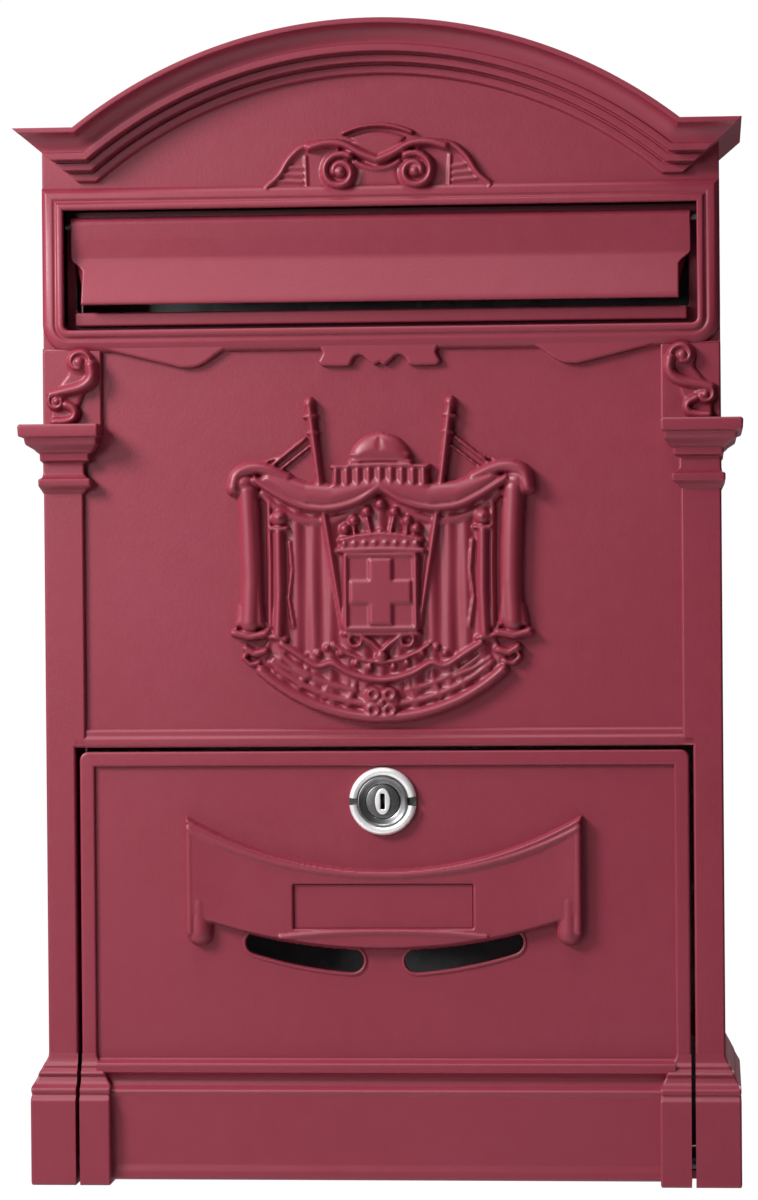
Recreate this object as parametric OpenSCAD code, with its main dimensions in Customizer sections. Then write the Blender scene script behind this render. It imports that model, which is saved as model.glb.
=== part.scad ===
// Wall-hung letter box. A cast body with an arched cornice holds a posting flap at the top and a
// lockable door at the foot; a sheet-metal plate closes the back and is screwed to a wall.
//
// Axes: X runs to the right, Z runs up and the front faces -Y. Y = 0 is the wall and Z = 0 is the
// foot of the plinth. The letter d always means a distance out from the wall, so y = -d.

/* [Overall] */
// Height from the foot of the plinth to the top of the arch
height = 410; // [340:1:500]
// Width across the ends of the cornice
cornice_w = 256; // [212:1:310]
// Distance from the wall to the crown of the cornice
depth = 90; // [75:1:120]

/* [Body casting] */
// Thickness of the side, roof and floor walls
wall = 3; // [2:0.1:4]
// Thickness of the front wall at the main panel
front_wall = 4; // [3:0.1:5]
// How far each end of the cornice stands out past the body's side
cornice_overhang = 8; // [5:0.5:12]
// How far each plinth block stands out past the body's side
plinth_overhang = 5.5; // [3:0.5:9]
// Distance from the crown of the cornice back to the face of the pilasters
face_setback = 14; // [10:0.5:18]
// Distance from the face of the pilasters back to the main panel
panel_setback = 2; // [1:0.1:3]
// Width of a pilaster on the front
pilaster_w = 14.2; // [11:0.2:20]

/* [Cornice] */
// Rise of the arch above the shoulders
arch_rise = 36.6; // [24:0.2:50]
// Length of the level shoulder at each end of the arch
shoulder_w = 21.5; // [16:0.5:30]
// Height of the moulded band
band_h = 18.4; // [14:0.2:22]

/* [Posting recess and flap] */
// Distance from the foot of the cornice down to the recess
recess_drop = 9.7; // [6:0.1:16]
// Height of the recess
recess_h = 42.5; // [38:0.5:56]
// Depth of the recess behind the face of the pilasters
recess_depth = 8; // [7.5:0.5:12]
// Width of the face left on each side of the recess
recess_side = 8; // [7:0.5:14]
// Height of the face under the recess
recess_foot_h = 7.4; // [5:0.1:12]
// Thickness of the flap
flap_t = 2.5; // [2:0.1:3]
// Gap between the flap and each side of the recess
flap_gap = 2; // [1:0.1:4]
// Height of the slanted lip of the flap
lip_h = 15.8; // [10:0.1:18]
// Height of the slot that letters pass through
slot_h = 27; // [20:0.5:30]
// Radius of the flap's hinge knuckle
knuckle_r = 2.8; // [2.4:0.1:3]
// Diameter of the flap's two pins
flap_pin_d = 3; // [2:0.1:3.6]
// How far each flap pin reaches into the flap
flap_pin_hold = 8; // [5:0.5:15]

/* [Brackets and capitals] */
// Height of the scroll brackets, from the capitals to the recess's frame
bracket_h = 26; // [22:0.5:34]
// Width of the seat behind each scroll bracket
bracket_seat_w = 21; // [19:0.5:26]

/* [Door] */
// Height of the door
door_h = 153; // [140:1:200]
// Gap all round the door
door_gap = 1.5; // [1:0.1:2.5]
// Thickness of the door's walls
door_t = 3; // [2.4:0.1:4]
// Width of the raised border of the door
door_border = 5.3; // [4:0.1:9]
// How far the door's border stands out from its panel
border_h = 1.5; // [1:0.1:2]
// How far the door's flange reaches behind its panel
flange_h = 5.3; // [4:0.1:8]
// Height of the ledge between the door and the main panel
ledge_h = 6.7; // [5:0.1:12]
// Height of the hinge axis above the foot
hinge_z = 7.5; // [7:0.1:10]
// Diameter of the door's two hinge pins
hinge_pin_d = 4; // [3:0.1:5]

/* [Plinth] */
// Height of the plinth's upright face
plinth_h = 33.7; // [28:0.1:44]
// Height of the moulding above the plinth
plinth_mould_h = 8.8; // [6:0.1:12]
// How far the corner blocks stand out from the face of the pilasters
block_out = 7.5; // [5:0.1:12]
// How far the middle of the plinth stands out from the face of the pilasters
plinth_out = 3.3; // [2:0.1:5]
// Width of each corner block that belongs to the door
door_block_w = 10.9; // [9:0.1:16]

/* [Name holder] */
// Width of the ribbon
ribbon_w = 140.8; // [120:0.2:144]
// Height of the ribbon's top corners above the foot
ribbon_top = 129.6; // [124:0.1:134]
// How far the ribbon's top edge sags at its middle
ribbon_sag = 19.3; // [15:0.1:20]
// Height of the ribbon's lower edge at its middle
ribbon_foot = 83.3; // [80:0.1:86]
// How far the ribbon's lower edge rises at its ends
ribbon_rise = 7.3; // [5:0.1:9]
// How far the ribbon stands out from the door's panel
ribbon_out = 4; // [3:0.1:6]
// Width of the name plate
plate_w = 63; // [50:0.5:70]
// Height of the name plate
plate_h = 15.2; // [12:0.1:16]
// Height of the name plate's lower edge above the foot
plate_foot = 90.6; // [89:0.1:92]
// Thickness of the name plate
plate_t = 1; // [0.8:0.1:2]
// Height of the sight slots
sight_h = 9; // [8:0.1:10]
// Distance from the middle of the door to the nearer end of a sight slot
sight_in = 7; // [6:0.5:12]
// Distance from the middle of the door to the farther end of a sight slot
sight_out = 49.5; // [44:0.5:56]

/* [Lock] */
// Distance from the top of the door down to the lock's centre
lock_drop = 17.8; // [16:0.1:24]
// Diameter of the bright ring
ring_d = 24; // [22:0.5:26]
// Diameter of the barrel
barrel_d = 18; // [16:0.5:19]
// Diameter of the plug that the key turns
plug_d = 12; // [11:0.1:13]
// Distance from the lock's centre to the tip of the cam
cam_reach = 32; // [28:0.5:36]
// Thickness of the cam
cam_t = 2; // [1.5:0.1:3]

/* [Back plate] */
// Thickness of the back plate
back_t = 1; // [0.8:0.1:2]
// Depth of the pads that the back plate rests on the wall with
pad_h = 3; // [2.6:0.1:5]
// Gap between the back plate and the body
back_gap = 0.5; // [0.3:0.1:1]
// Distance from the edges of the back plate to its wall holes
hole_inset = 36.5; // [24:0.5:50]
// Diameter of the wall holes
wall_hole_d = 6.5; // [5:0.1:8]
// Diameter of the screws that hold the back plate
screw_d = 4; // [3:0.5:5]

/* [Ornament] */
// Width of the crest
crest_w = 109; // [80:1:112]
// Height of the crest's relief
crest_relief = 4; // [3:0.1:6]

/* [Clearances] */
// Radial clearance of a pin that turns in its hole
pin_clearance = 0.05; // [0.02:0.01:0.1]
// Radial clearance of a part that is held in its hole
seat_clearance = 0.03; // [0.02:0.01:0.1]
// Clearance between flat parts that are fitted together
fit_clearance = 0.2; // [0.1:0.05:0.4]

/* [Hidden] */
$fn = 64;

paint = [0.56, 0.26, 0.31];
bright = [0.80, 0.81, 0.83];
steel = [0.45, 0.46, 0.48];
zinc = [0.68, 0.70, 0.72];

lap = 0.5;
beyond = 10;

// Distances from the wall
face_d = depth - face_setback;
panel_d = face_d - panel_setback;
inner_d = panel_d - front_wall;
bead_d = face_d + 2;
block_d = face_d + block_out;
plinth_d = face_d + plinth_out;
recess_d = face_d - recess_depth;

// Distances from the middle
half_w = cornice_w / 2;
body_x = half_w - cornice_overhang;
plinth_x = body_x + plinth_overhang;
pilaster_x = body_x - pilaster_w;
cavity_x = body_x - wall;
recess_x = body_x - recess_side;
flap_x = recess_x - flap_gap;
body_block_w = 10.5;
jamb_x = body_x - body_block_w;
door_x = jamb_x - door_gap;

// Heights of the upper features, measured down from the top
shoulder_z = height - arch_rise;
cornice_foot = shoulder_z - band_h;
body_top = shoulder_z - cornice_overhang * band_h / shoulder_w;
recess_top = cornice_foot - recess_drop;
recess_foot = recess_top - recess_h;
frame_foot = recess_foot - recess_foot_h;
capital_top = frame_foot - bracket_h;

// Heights of the lower features, measured up from the foot
door_top = door_h;
lock_z = door_top - lock_drop;
opening_top = door_top + door_gap;
panel_foot = opening_top + ledge_h;
plinth_top = plinth_h + plinth_mould_h;

// The arch is the circle through the two shoulders and the top
chord_x = half_w - shoulder_w;
arch_r = (chord_x * chord_x + arch_rise * arch_rise) / (2 * arch_rise);
arch_z = height - arch_r;
// Each end of the cornice runs back on a slope as it goes down
end_slope = shoulder_w / band_h;
// Cornice steps: share of the band's height, and how far each step is cut back from the crown
cornice_steps = [[0.13, 2], [0.30, 5], [0.46, 7.5], [0.64, 10], [0.82, 12.5], [1, face_setback + panel_setback]];

// Capital rows, going down: height, overhang past the body, width past the pilaster, depth past the face
capital_rows = [
    [4.4, 7.7, 6.8, 10],
    [2.5, 5.5, 5.8, 7.5],
    [2.5, 2.5, 4.5, 4.5],
    [4, 0.8, 2.6, 3],
    [3.4, 0, 0.5, 1],
    [3.2, 1.5, 3.2, 3.5],
    [3.1, 0.8, 1.5, 2]
];

// Flap hinge
flap_head_gap = 2.2;
lip_gap = 8.8;
lip_out = 1;
slot_sill = 6;
flap_axis_d = recess_d + knuckle_r + lap;
flap_axis_z = recess_top - knuckle_r - flap_head_gap;
lip_foot = recess_foot + lip_gap;
lip_top = lip_foot + lip_h;
lip_d = bead_d + lip_out;
slot_foot = recess_foot + slot_sill;
slot_x = flap_x - 1;

// Door and its hinge. The door's parts are placed from the front of its panel.
door_proud = 0.3;
door_panel_d = panel_d + door_proud;
door_back_d = door_panel_d - door_t - flange_h;
hinge_d = panel_d;
hinge_sweep = norm([hinge_d - door_back_d, hinge_z]);
floor_d = hinge_d - hinge_sweep - 1;
hinge_pin_r = hinge_pin_d / 2;
flap_pin_r = flap_pin_d / 2;
pin_head_t = 2;
clip_t = 0.8;
clip_r = hinge_pin_r + 1.5;
block_in_x = door_x - door_block_w;

// Lock, placed from the front of the door's panel
barrel_r = barrel_d / 2;
plug_r = plug_d / 2;
barrel_out = 2.5;
barrel_behind = 6.1;
ring_t = 3;
plug_sunk = 0.3;
plug_tail = 0.7;
barrel_front_d = door_panel_d + barrel_out;
barrel_back_d = door_panel_d - door_t - barrel_behind;
ring_front_d = door_panel_d + ring_t;
plug_front_d = barrel_front_d - plug_sunk;
plug_back_d = barrel_back_d - plug_tail;
cam_back_d = plug_back_d - cam_t;
washer_t = 0.8;
screw_head_t = 2.5;
tail_w = 5;
keyway_w = 1.6;
keyway_h = 5.6;
keyway_depth = 8;
keyway_end_d = plug_front_d - keyway_depth;
wafer_t = 1;
wafer_w = 5;
wafer_count = 4;
wafer_pitch = 1.7;
cam_screw_r = 1.5;
strike_d = plug_back_d + 1;

// Back plate
plate_x = cavity_x - back_gap;
plate_low = wall + back_gap;
plate_high = shoulder_z - wall - back_gap;
screw_r = screw_d / 2;
screw_rim = 1.5;
boss_rim = 2.6;
boss_r = screw_r + boss_rim;
boss_x = cavity_x - boss_r + lap;
boss_h = 16;
boss_heights = [plinth_top + 8, (plinth_top + shoulder_z) / 2, shoulder_z - 14];
hole_x = plate_x - hole_inset;
hole_heights = [plate_low + hole_inset, plate_high - hole_inset];
pad_r = wall_hole_d / 2 + 6;

// Ornament
apron_d = panel_d + 1.2;
apron_drop = 7.8;
crest_design_w = 109;
crest_up = 65;
crest_down = 55.5;
crest_room = frame_foot - apron_drop - panel_foot;
crest_scale = min(crest_w / crest_design_w, (crest_room - 6) / (crest_up + crest_down));
crest_z = panel_foot + 2.5 + crest_down * crest_scale;

// Ribbon arcs and the arc that the sight slots follow
ribbon_x = ribbon_w / 2;
ribbon_top_r = (ribbon_x * ribbon_x + ribbon_sag * ribbon_sag) / (2 * ribbon_sag);
ribbon_foot_x = ribbon_x - 9.4;
ribbon_foot_r = (ribbon_foot_x * ribbon_foot_x + ribbon_rise * ribbon_rise) / (2 * ribbon_rise);
sight_r = 150;
sight_foot = ribbon_foot - 5.3;
sight_end_in = asin((sight_in + sight_h / 2) / sight_r);
sight_end_out = asin((sight_out - sight_h / 2) / sight_r);

// ---- building blocks ----

// A plate parallel to the wall, between two distances from it
module slab(d0, d1) {
    translate([0, -d0, 0]) rotate([90, 0, 0]) linear_extrude(d1 - d0) children();
}

// A (d, z) profile run along X between two places
module run(x0, x1) {
    translate([x1, 0, 0]) rotate([90, 0, -90]) linear_extrude(x1 - x0) children();
}

// A round bar square to the wall
module peg(x, z, r, d0, d1) {
    translate([x, -d0, z]) rotate([90, 0, 0]) cylinder(h = d1 - d0, r = r);
}

// A round bar along X
module bar(d, z, r, x0, x1) {
    translate([x0, -d, z]) rotate([0, 90, 0]) cylinder(h = x1 - x0, r = r);
}

// A flat rectangle between two corners
module rect(x0, z0, x1, z1) {
    translate([x0, z0]) square([x1 - x0, z1 - z0]);
}

module both_sides() {
    children();
    mirror([1, 0, 0]) children();
}

// ---- body casting ----

// Outline of the arched top, s millimetres inside the cornice's outer edge
module pediment(s) {
    top = shoulder_z - s;
    end_x = half_w - s * end_slope;
    foot_x = half_w - band_h * end_slope;
    intersection() {
        translate([0, arch_z]) circle(arch_r - s, $fn = 256);
        rect(-end_x, top - lap, end_x, height + beyond);
    }
    if (s < band_h)
        polygon([[-end_x, top], [-foot_x, cornice_foot], [foot_x, cornice_foot], [end_x, top]]);
}

// The moulded cornice, stepped back from its crown towards the tympanum
module cornice() {
    difference() {
        slab(0, depth) pediment(0);
        for (step = cornice_steps)
            slab(depth - step[1], depth + beyond) pediment(step[0] * band_h);
    }
}

// Profile of a corner block of the plinth, sloping back to the pilaster
module block_profile() {
    polygon([[0, 0], [block_d, 0], [block_d, plinth_h], [face_d + 1, plinth_top], [0, plinth_top]]);
}

// Outline of both corner blocks seen from the front
module block_outline() {
    polygon([
        [jamb_x, 0], [plinth_x, 0], [plinth_x, plinth_h],
        [body_x, plinth_top], [jamb_x, plinth_top]
    ]);
}

module capital() {
    for (i = [0 : len(capital_rows) - 1]) {
        row = capital_rows[i];
        above = i == 0 ? 0 : [for (a = 0, sum = 0; a < i; sum = sum + capital_rows[a][0], a = a + 1)
            sum + capital_rows[a][0]][i - 1];
        top = capital_top - above;
        slab(0, face_d + row[3]) rect(pilaster_x - row[2], top - row[0], body_x + row[1], top);
    }
}

// Lower edge of the apron: a lobe on each side of the middle, between two distances from it
module apron_lobe() {
    inner = 50.6;
    peak = 67;
    outer = pilaster_x - 5;
    steps = 12;
    rise = [for (i = [0 : steps]) let (x = inner + (peak - inner) * i / steps)
        [x, frame_foot - apron_drop * (1 - cos(180 * i / steps)) / 2]];
    fall = [for (i = [1 : steps]) let (x = peak + (outer - peak) * i / steps)
        [x, frame_foot - apron_drop * (1 + cos(180 * i / steps)) / 2]];
    polygon(concat([[inner, frame_foot + lap]], rise, fall, [[outer, frame_foot + lap]]));
}

module apron() {
    both_sides() slab(panel_d - lap, apron_d) apron_lobe();
    slab(panel_d - lap, apron_d) difference() {
        rect(-21, frame_foot - apron_drop + 1, 21, frame_foot + lap);
        for (x = [-5, 5]) translate([x, frame_foot - apron_drop]) circle(3);
    }
}

// Everything that the cavity is cut from
module housing_outer() {
    slab(0, panel_d) {
        rect(-body_x, 0, body_x, body_top);
        pediment(0);
    }
    cornice();
    slab(panel_d - lap, face_d) {
        both_sides() rect(pilaster_x, plinth_top - lap, body_x, body_top);
        both_sides() rect(body_x - bracket_seat_w, capital_top - lap, body_x, frame_foot);
        rect(-body_x, frame_foot, body_x, recess_top + 3);
        rect(-body_x, opening_top, body_x, panel_foot);
    }
    slab(face_d - lap, bead_d)
        rect(-recess_x - 1.5, recess_foot - 1.5, recess_x + 1.5, recess_top + 1.5);
    apron();
    both_sides() capital();
    both_sides() intersection() {
        run(0, plinth_x + beyond) block_profile();
        slab(0, block_d + beyond) block_outline();
    }
}

// The space inside the body, open at the back
module housing_cavity() {
    slab(-beyond, inner_d) {
        rect(-cavity_x, wall, cavity_x, body_top);
        intersection() {
            pediment(wall);
            rect(-cavity_x, cornice_foot, cavity_x, height);
        }
    }
    both_sides() slab(-beyond, block_d - wall - lap)
        rect(jamb_x + wall, wall, plinth_x - wall, plinth_h - wall);
}

// Walls that stand inside the cavity
module housing_inner() {
    slab(recess_d - wall, face_d)
        rect(-recess_x - wall, recess_foot - wall, recess_x + wall, recess_top + wall);
    both_sides() slab(floor_d, block_d - lap) rect(jamb_x, 0, jamb_x + wall, plinth_h - lap);
    slab(strike_d, inner_d + lap) rect(-door_x, opening_top, door_x, opening_top + wall);
    both_sides() for (z = boss_heights) peg(boss_x, z, boss_r, pad_h + back_t, pad_h + back_t + boss_h);
}

module housing() {
    color(paint) difference() {
        union() {
            difference() {
                housing_outer();
                housing_cavity();
            }
            housing_inner();
            crest();
            pediment_ornament();
            both_sides() scroll_bracket();
        }
        slab(recess_d, depth + beyond) rect(-recess_x, recess_foot, recess_x, recess_top);
        slab(0, depth) rect(-slot_x, slot_foot, slot_x, slot_foot + slot_h);
        slab(floor_d, depth + beyond) rect(-jamb_x, -beyond, jamb_x, opening_top);
        bar(hinge_d, hinge_z, hinge_pin_r + pin_clearance, -plinth_x + wall + lap, plinth_x - wall - lap);
        bar(flap_axis_d, flap_axis_z, flap_pin_r + pin_clearance, -cavity_x + lap, cavity_x - lap);
        both_sides() for (z = boss_heights)
            peg(boss_x, z, screw_r + seat_clearance, 0, pad_h + back_t + boss_h - wall);
    }
}

// ---- ornament, cast in one with the body ----

// Flat five-pointed star, one point up
module star(r) {
    polygon([for (i = [0 : 9]) let (q = i % 2 == 0 ? r : 0.42 * r)
        [q * sin(36 * i), q * cos(36 * i)]]);
}

// A straight stave between two points
module stave(a, b, w) {
    length = norm(b - a);
    translate(a) rotate(atan2(b[1] - a[1], b[0] - a[0])) translate([0, -w / 2]) square([length, w]);
}

// A beast that stands up beside the shield: paws, body, head and tail
module supporter() {
    translate([24, -12]) circle(7);
    translate([23, 1]) circle(6);
    translate([21, 11]) circle(5);
    stave([14, 3], [22, 1], 3.5);
    stave([20, -30], [25, -14], 5);
    stave([28, -14], [33, -4], 3);
}

module crest_shapes() {
    slab(-lap, 0.45 * crest_relief) {
        intersection() {
            translate([0, 8.6]) circle(64.1, $fn = 128);
            rect(-47, -crest_down, 47, 22);
        }
        both_sides() rect(42.9, -27.5, 51.3, 25);
        both_sides() translate([47.6, 29]) circle(5);
    }
    slab(-lap, 0.7 * crest_relief) {
        both_sides() supporter();
        both_sides() stave([-24.6, 55.5], [-13, -22.5], 3);
        rect(-17.2, 26.5, 17.2, 34.8);
        translate([0, 35.5]) circle(11);
        difference() {
            translate([0, 8.6]) circle(64.1, $fn = 128);
            translate([0, 8.6]) circle(60.4, $fn = 128);
            rect(-70, -33, 70, 80);
        }
        both_sides() rect(34.3, -26.7, 37.7, 16);
    }
    slab(-lap, crest_relief) {
        rect(-12.3, -23.2, 12.3, 3.2);
        translate([0, 10]) circle(9.5);
        translate([0, -49]) circle(6.5);
        translate([0, 55]) star(13);
    }
}

module crest() {
    translate([0, -panel_d, crest_z]) scale(crest_scale) crest_shapes();
}

module pediment_ornament() {
    foot = recess_top + 3.5;
    slab(panel_d - lap, panel_d + 4) {
        both_sides() polygon([[8, foot], [40, foot], [36, foot + 4], [22, foot + 16], [8, foot + 18]]);
        both_sides() translate([14, foot + 9]) circle(6.5);
        translate([0, foot + 12]) circle(12);
    }
}

// The left bracket: a volute at the top, a band that runs out and down, and a curl at the foot
module scroll_bracket() {
    foot = capital_top;
    seat_x = body_x - bracket_seat_w;
    slab(face_d - lap, face_d + 5) {
        translate([-body_x + 12.8, foot + bracket_h - 4.8]) circle(4.6);
        translate([-body_x + 6.6, foot + 5.4]) circle(5.4);
        polygon([
            [-body_x + 9, foot + bracket_h - 3], [-body_x + 1.6, foot + 10],
            [-body_x + 4, foot + 4], [-body_x + 11, foot + bracket_h - 9]
        ]);
    }
    slab(face_d - lap, face_d + 2) rect(-body_x + 2, foot, -seat_x - lap, foot + 5);
}

// ---- posting flap ----

module mail_flap() {
    plate_back = flap_axis_d - flap_t / 2;
    plate_front = flap_axis_d + flap_t / 2;
    lip_side = 4.5;
    color(paint) difference() {
        union() {
            bar(flap_axis_d, flap_axis_z, knuckle_r, -flap_x, flap_x);
            run(-flap_x, flap_x)
                polygon([
                    [plate_back, lip_top], [plate_front, lip_top],
                    [plate_front, flap_axis_z], [plate_back, flap_axis_z]
                ]);
            run(-flap_x + lip_side, flap_x - lip_side)
                polygon([
                    [plate_back, lip_top + lap], [plate_back, lip_top - 1], [lip_d - flap_t, lip_foot],
                    [lip_d, lip_foot], [lip_d, lip_foot + 1], [plate_front, lip_top + lap]
                ]);
        }
        both_sides() bar(
            flap_axis_d, flap_axis_z, flap_pin_r + seat_clearance,
            flap_x - flap_pin_hold - lap, flap_x + lap
        );
    }
}

// Each pin is held in the flap and turns in the side wall of the recess
module flap_pin() {
    bar(flap_axis_d, flap_axis_z, flap_pin_r, flap_x - flap_pin_hold, recess_x + wall - lap);
}

module flap_pin_left() {
    color(steel) mirror([1, 0, 0]) flap_pin();
}

module flap_pin_right() {
    color(steel) flap_pin();
}

// ---- door ----

module door_outline(inset) {
    r = 3;
    x = door_x - inset;
    top = door_top - inset;
    rect(-x, 0, x, top - r);
    rect(-x + r, top - r - lap, x - r, top);
    both_sides() translate([x - r, top - r]) circle(r);
}

// A slot that follows an arc, with round ends
module sight_slot(grow) {
    half = sight_h / 2 + grow;
    centre = sight_foot + sight_r;
    far = 2 * sight_r;
    translate([0, centre]) {
        intersection() {
            difference() {
                circle(sight_r + half, $fn = 256);
                circle(sight_r - half, $fn = 256);
            }
            polygon([
                [0, 0],
                [far * sin(sight_end_in), -far * cos(sight_end_in)],
                [far * sin(sight_end_out), -far * cos(sight_end_out)]
            ]);
        }
        for (a = [sight_end_in, sight_end_out])
            translate([sight_r * sin(a), -sight_r * cos(a)]) circle(half);
    }
}

module ribbon() {
    difference() {
        intersection() {
            rect(-ribbon_x, ribbon_foot - beyond, ribbon_x, ribbon_top);
            translate([0, ribbon_foot + ribbon_foot_r]) circle(ribbon_foot_r, $fn = 256);
        }
        translate([0, ribbon_top - ribbon_sag + ribbon_top_r]) circle(ribbon_top_r, $fn = 256);
    }
    both_sides() translate([ribbon_x - 4.7, ribbon_foot + 6.1]) circle(4.7);
    both_sides() rect(ribbon_x - 9.4, ribbon_foot + 6.1, ribbon_x, ribbon_foot + 14);
}

// Plinth part of the door: a thin front with a stepped moulding over it, between two blocks
module door_plinth() {
    run(-block_in_x - lap, block_in_x + lap)
        polygon([
            [door_panel_d - door_t, plinth_h - 1], [plinth_d - door_t, plinth_h - 1], [plinth_d - door_t, 0],
            [plinth_d, 0], [plinth_d, plinth_h - 0.3], [face_d + 0.3, plinth_h + 3.9],
            [bead_d, plinth_h + 3.9], [bead_d, plinth_top - 0.7], [door_panel_d - door_t, plinth_top - 0.7]
        ]);
    both_sides() difference() {
        intersection() {
            run(block_in_x, door_x) block_profile();
            slab(door_back_d, block_d + beyond) rect(0, 0, body_x, plinth_top);
        }
        slab(0, block_d - door_t)
            rect(block_in_x + door_t, door_t, door_x - door_t, plinth_h);
    }
}

module door() {
    flange_front = door_panel_d - door_t + lap;
    color(paint) difference() {
        union() {
            slab(door_panel_d - door_t, door_panel_d) difference() {
                door_outline(0);
                rect(-door_x - lap, -lap, door_x + lap, plinth_h);
            }
            slab(door_panel_d - lap, door_panel_d + border_h) difference() {
                door_outline(0);
                rect(-door_x + door_border, -lap, door_x - door_border, door_top - door_border);
                rect(-door_x - lap, -lap, door_x + lap, plinth_top - lap);
            }
            slab(door_back_d, flange_front) difference() {
                door_outline(0);
                rect(-door_x + door_t, -lap, door_x - door_t, door_top - door_t);
            }
            door_plinth();
            slab(door_panel_d - lap, door_panel_d + ribbon_out) ribbon();
            slab(door_panel_d - lap, door_panel_d + 1) both_sides() sight_slot(1.4);
        }
        slab(door_back_d - lap, depth + beyond) both_sides() sight_slot(0);
        slab(door_panel_d + ribbon_out - plate_t - 1.2, depth + beyond)
            rect(
                -plate_w / 2 - fit_clearance, plate_foot - fit_clearance,
                plate_w / 2 + fit_clearance, plate_foot + plate_h + fit_clearance
            );
        peg(0, lock_z, barrel_r + seat_clearance, door_back_d - lap, depth + beyond);
        bar(hinge_d, hinge_z, hinge_pin_r + pin_clearance, -door_x - lap, door_x + lap);
    }
}

module name_plate() {
    back = door_panel_d + ribbon_out - plate_t - 1.2;
    color(bright) slab(back, back + plate_t)
        rect(-plate_w / 2, plate_foot, plate_w / 2, plate_foot + plate_h);
}

// Each pin has its head inside the corner block and passes through the jamb into the door's flange
module door_pin() {
    bar(hinge_d, hinge_z, hinge_pin_r, door_x - door_t - clip_t - 1, jamb_x + wall + lap);
    bar(hinge_d, hinge_z, hinge_pin_r + 1.5, jamb_x + wall, jamb_x + wall + pin_head_t);
}

module door_pin_left() {
    color(steel) mirror([1, 0, 0]) door_pin();
}

module door_pin_right() {
    color(steel) door_pin();
}

module door_pin_clips() {
    inner = door_x - door_t - fit_clearance - clip_t;
    color(bright) both_sides() difference() {
        bar(hinge_d, hinge_z, clip_r, inner, inner + clip_t);
        bar(hinge_d, hinge_z, hinge_pin_r + seat_clearance, inner - lap, inner + clip_t + lap);
    }
}

// ---- lock ----

module lock_ring() {
    notch = 2.5;
    color(bright) difference() {
        peg(0, lock_z, ring_d / 2, door_panel_d, ring_front_d);
        peg(0, lock_z, barrel_r + seat_clearance, door_panel_d - lap, ring_front_d + lap);
        both_sides() slab(ring_front_d - 2, ring_front_d + lap)
            rect(ring_d / 2 - 2, lock_z - notch / 2, ring_d / 2 + lap, lock_z + notch / 2);
    }
}

module lock_barrel() {
    flange_d = door_panel_d - door_t;
    color(steel) difference() {
        union() {
            peg(0, lock_z, barrel_r, barrel_back_d, barrel_front_d);
            peg(0, lock_z, barrel_r + 4, flange_d - 3, flange_d);
        }
        peg(0, lock_z, plug_r + pin_clearance, barrel_back_d - lap, barrel_front_d + lap);
    }
}

// Distance from the wall to the back of one wafer
function wafer_d(i) = keyway_end_d + 0.5 + i * wafer_pitch;

module lock_plug() {
    slot_gap = 0.05;
    color(steel) difference() {
        union() {
            peg(0, lock_z, plug_r, plug_back_d, plug_front_d);
            slab(cam_back_d, plug_back_d + lap)
                rect(-tail_w / 2, lock_z - tail_w / 2, tail_w / 2, lock_z + tail_w / 2);
        }
        slab(keyway_end_d, plug_front_d + lap)
            rect(-keyway_w / 2, lock_z - keyway_h / 2, keyway_w / 2, lock_z + keyway_h / 2);
        for (i = [0 : wafer_count - 1])
            slab(wafer_d(i) - slot_gap, wafer_d(i) + wafer_t + slot_gap)
                rect(-wafer_w / 2 - slot_gap, lock_z - plug_r - lap, wafer_w / 2 + slot_gap, lock_z + plug_r + lap);
        peg(0, lock_z, cam_screw_r + seat_clearance, cam_back_d - lap, keyway_end_d - 1.5);
    }
}

module lock_wafers() {
    tall = plug_r - 0.8;
    color(bright) for (i = [0 : wafer_count - 1])
        slab(wafer_d(i), wafer_d(i) + wafer_t) difference() {
            rect(-wafer_w / 2, lock_z - tall, wafer_w / 2, lock_z + tall);
            rect(-keyway_w / 2, lock_z - keyway_h / 2, keyway_w / 2, lock_z + keyway_h / 2);
        }
}

// At rest the cam lies along +X, clear of the body, so the door is unlocked
module lock_cam() {
    hub_r = 7;
    tip_r = 5;
    color(bright) slab(cam_back_d, plug_back_d) difference() {
        union() {
            translate([0, lock_z]) circle(hub_r);
            translate([cam_reach - tip_r, lock_z]) circle(tip_r);
            polygon([
                [0, lock_z - hub_r], [cam_reach - tip_r, lock_z - tip_r],
                [cam_reach - tip_r, lock_z + tip_r], [0, lock_z + hub_r]
            ]);
        }
        rect(
            -tail_w / 2 - pin_clearance, lock_z - tail_w / 2 - pin_clearance,
            tail_w / 2 + pin_clearance, lock_z + tail_w / 2 + pin_clearance
        );
    }
}

module cam_washer() {
    color(bright) difference() {
        peg(0, lock_z, 5, cam_back_d - washer_t, cam_back_d);
        peg(0, lock_z, cam_screw_r + seat_clearance, cam_back_d - washer_t - lap, cam_back_d + lap);
    }
}

module cam_screw() {
    head_d = cam_back_d - washer_t - screw_head_t;
    color(zinc) difference() {
        union() {
            peg(0, lock_z, cam_screw_r, head_d + lap, keyway_end_d - 2);
            peg(0, lock_z, 3, head_d, head_d + screw_head_t);
        }
        slab(head_d - lap, head_d + 1) {
            rect(-0.5, lock_z - 2.2, 0.5, lock_z + 2.2);
            rect(-2.2, lock_z - 0.5, 2.2, lock_z + 0.5);
        }
    }
}

// ---- back ----

module back_outline() {
    rect(-plate_x, plate_low, plate_x, body_top);
    intersection() {
        pediment(wall + back_gap);
        rect(-plate_x, cornice_foot, plate_x, height);
    }
}

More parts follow.
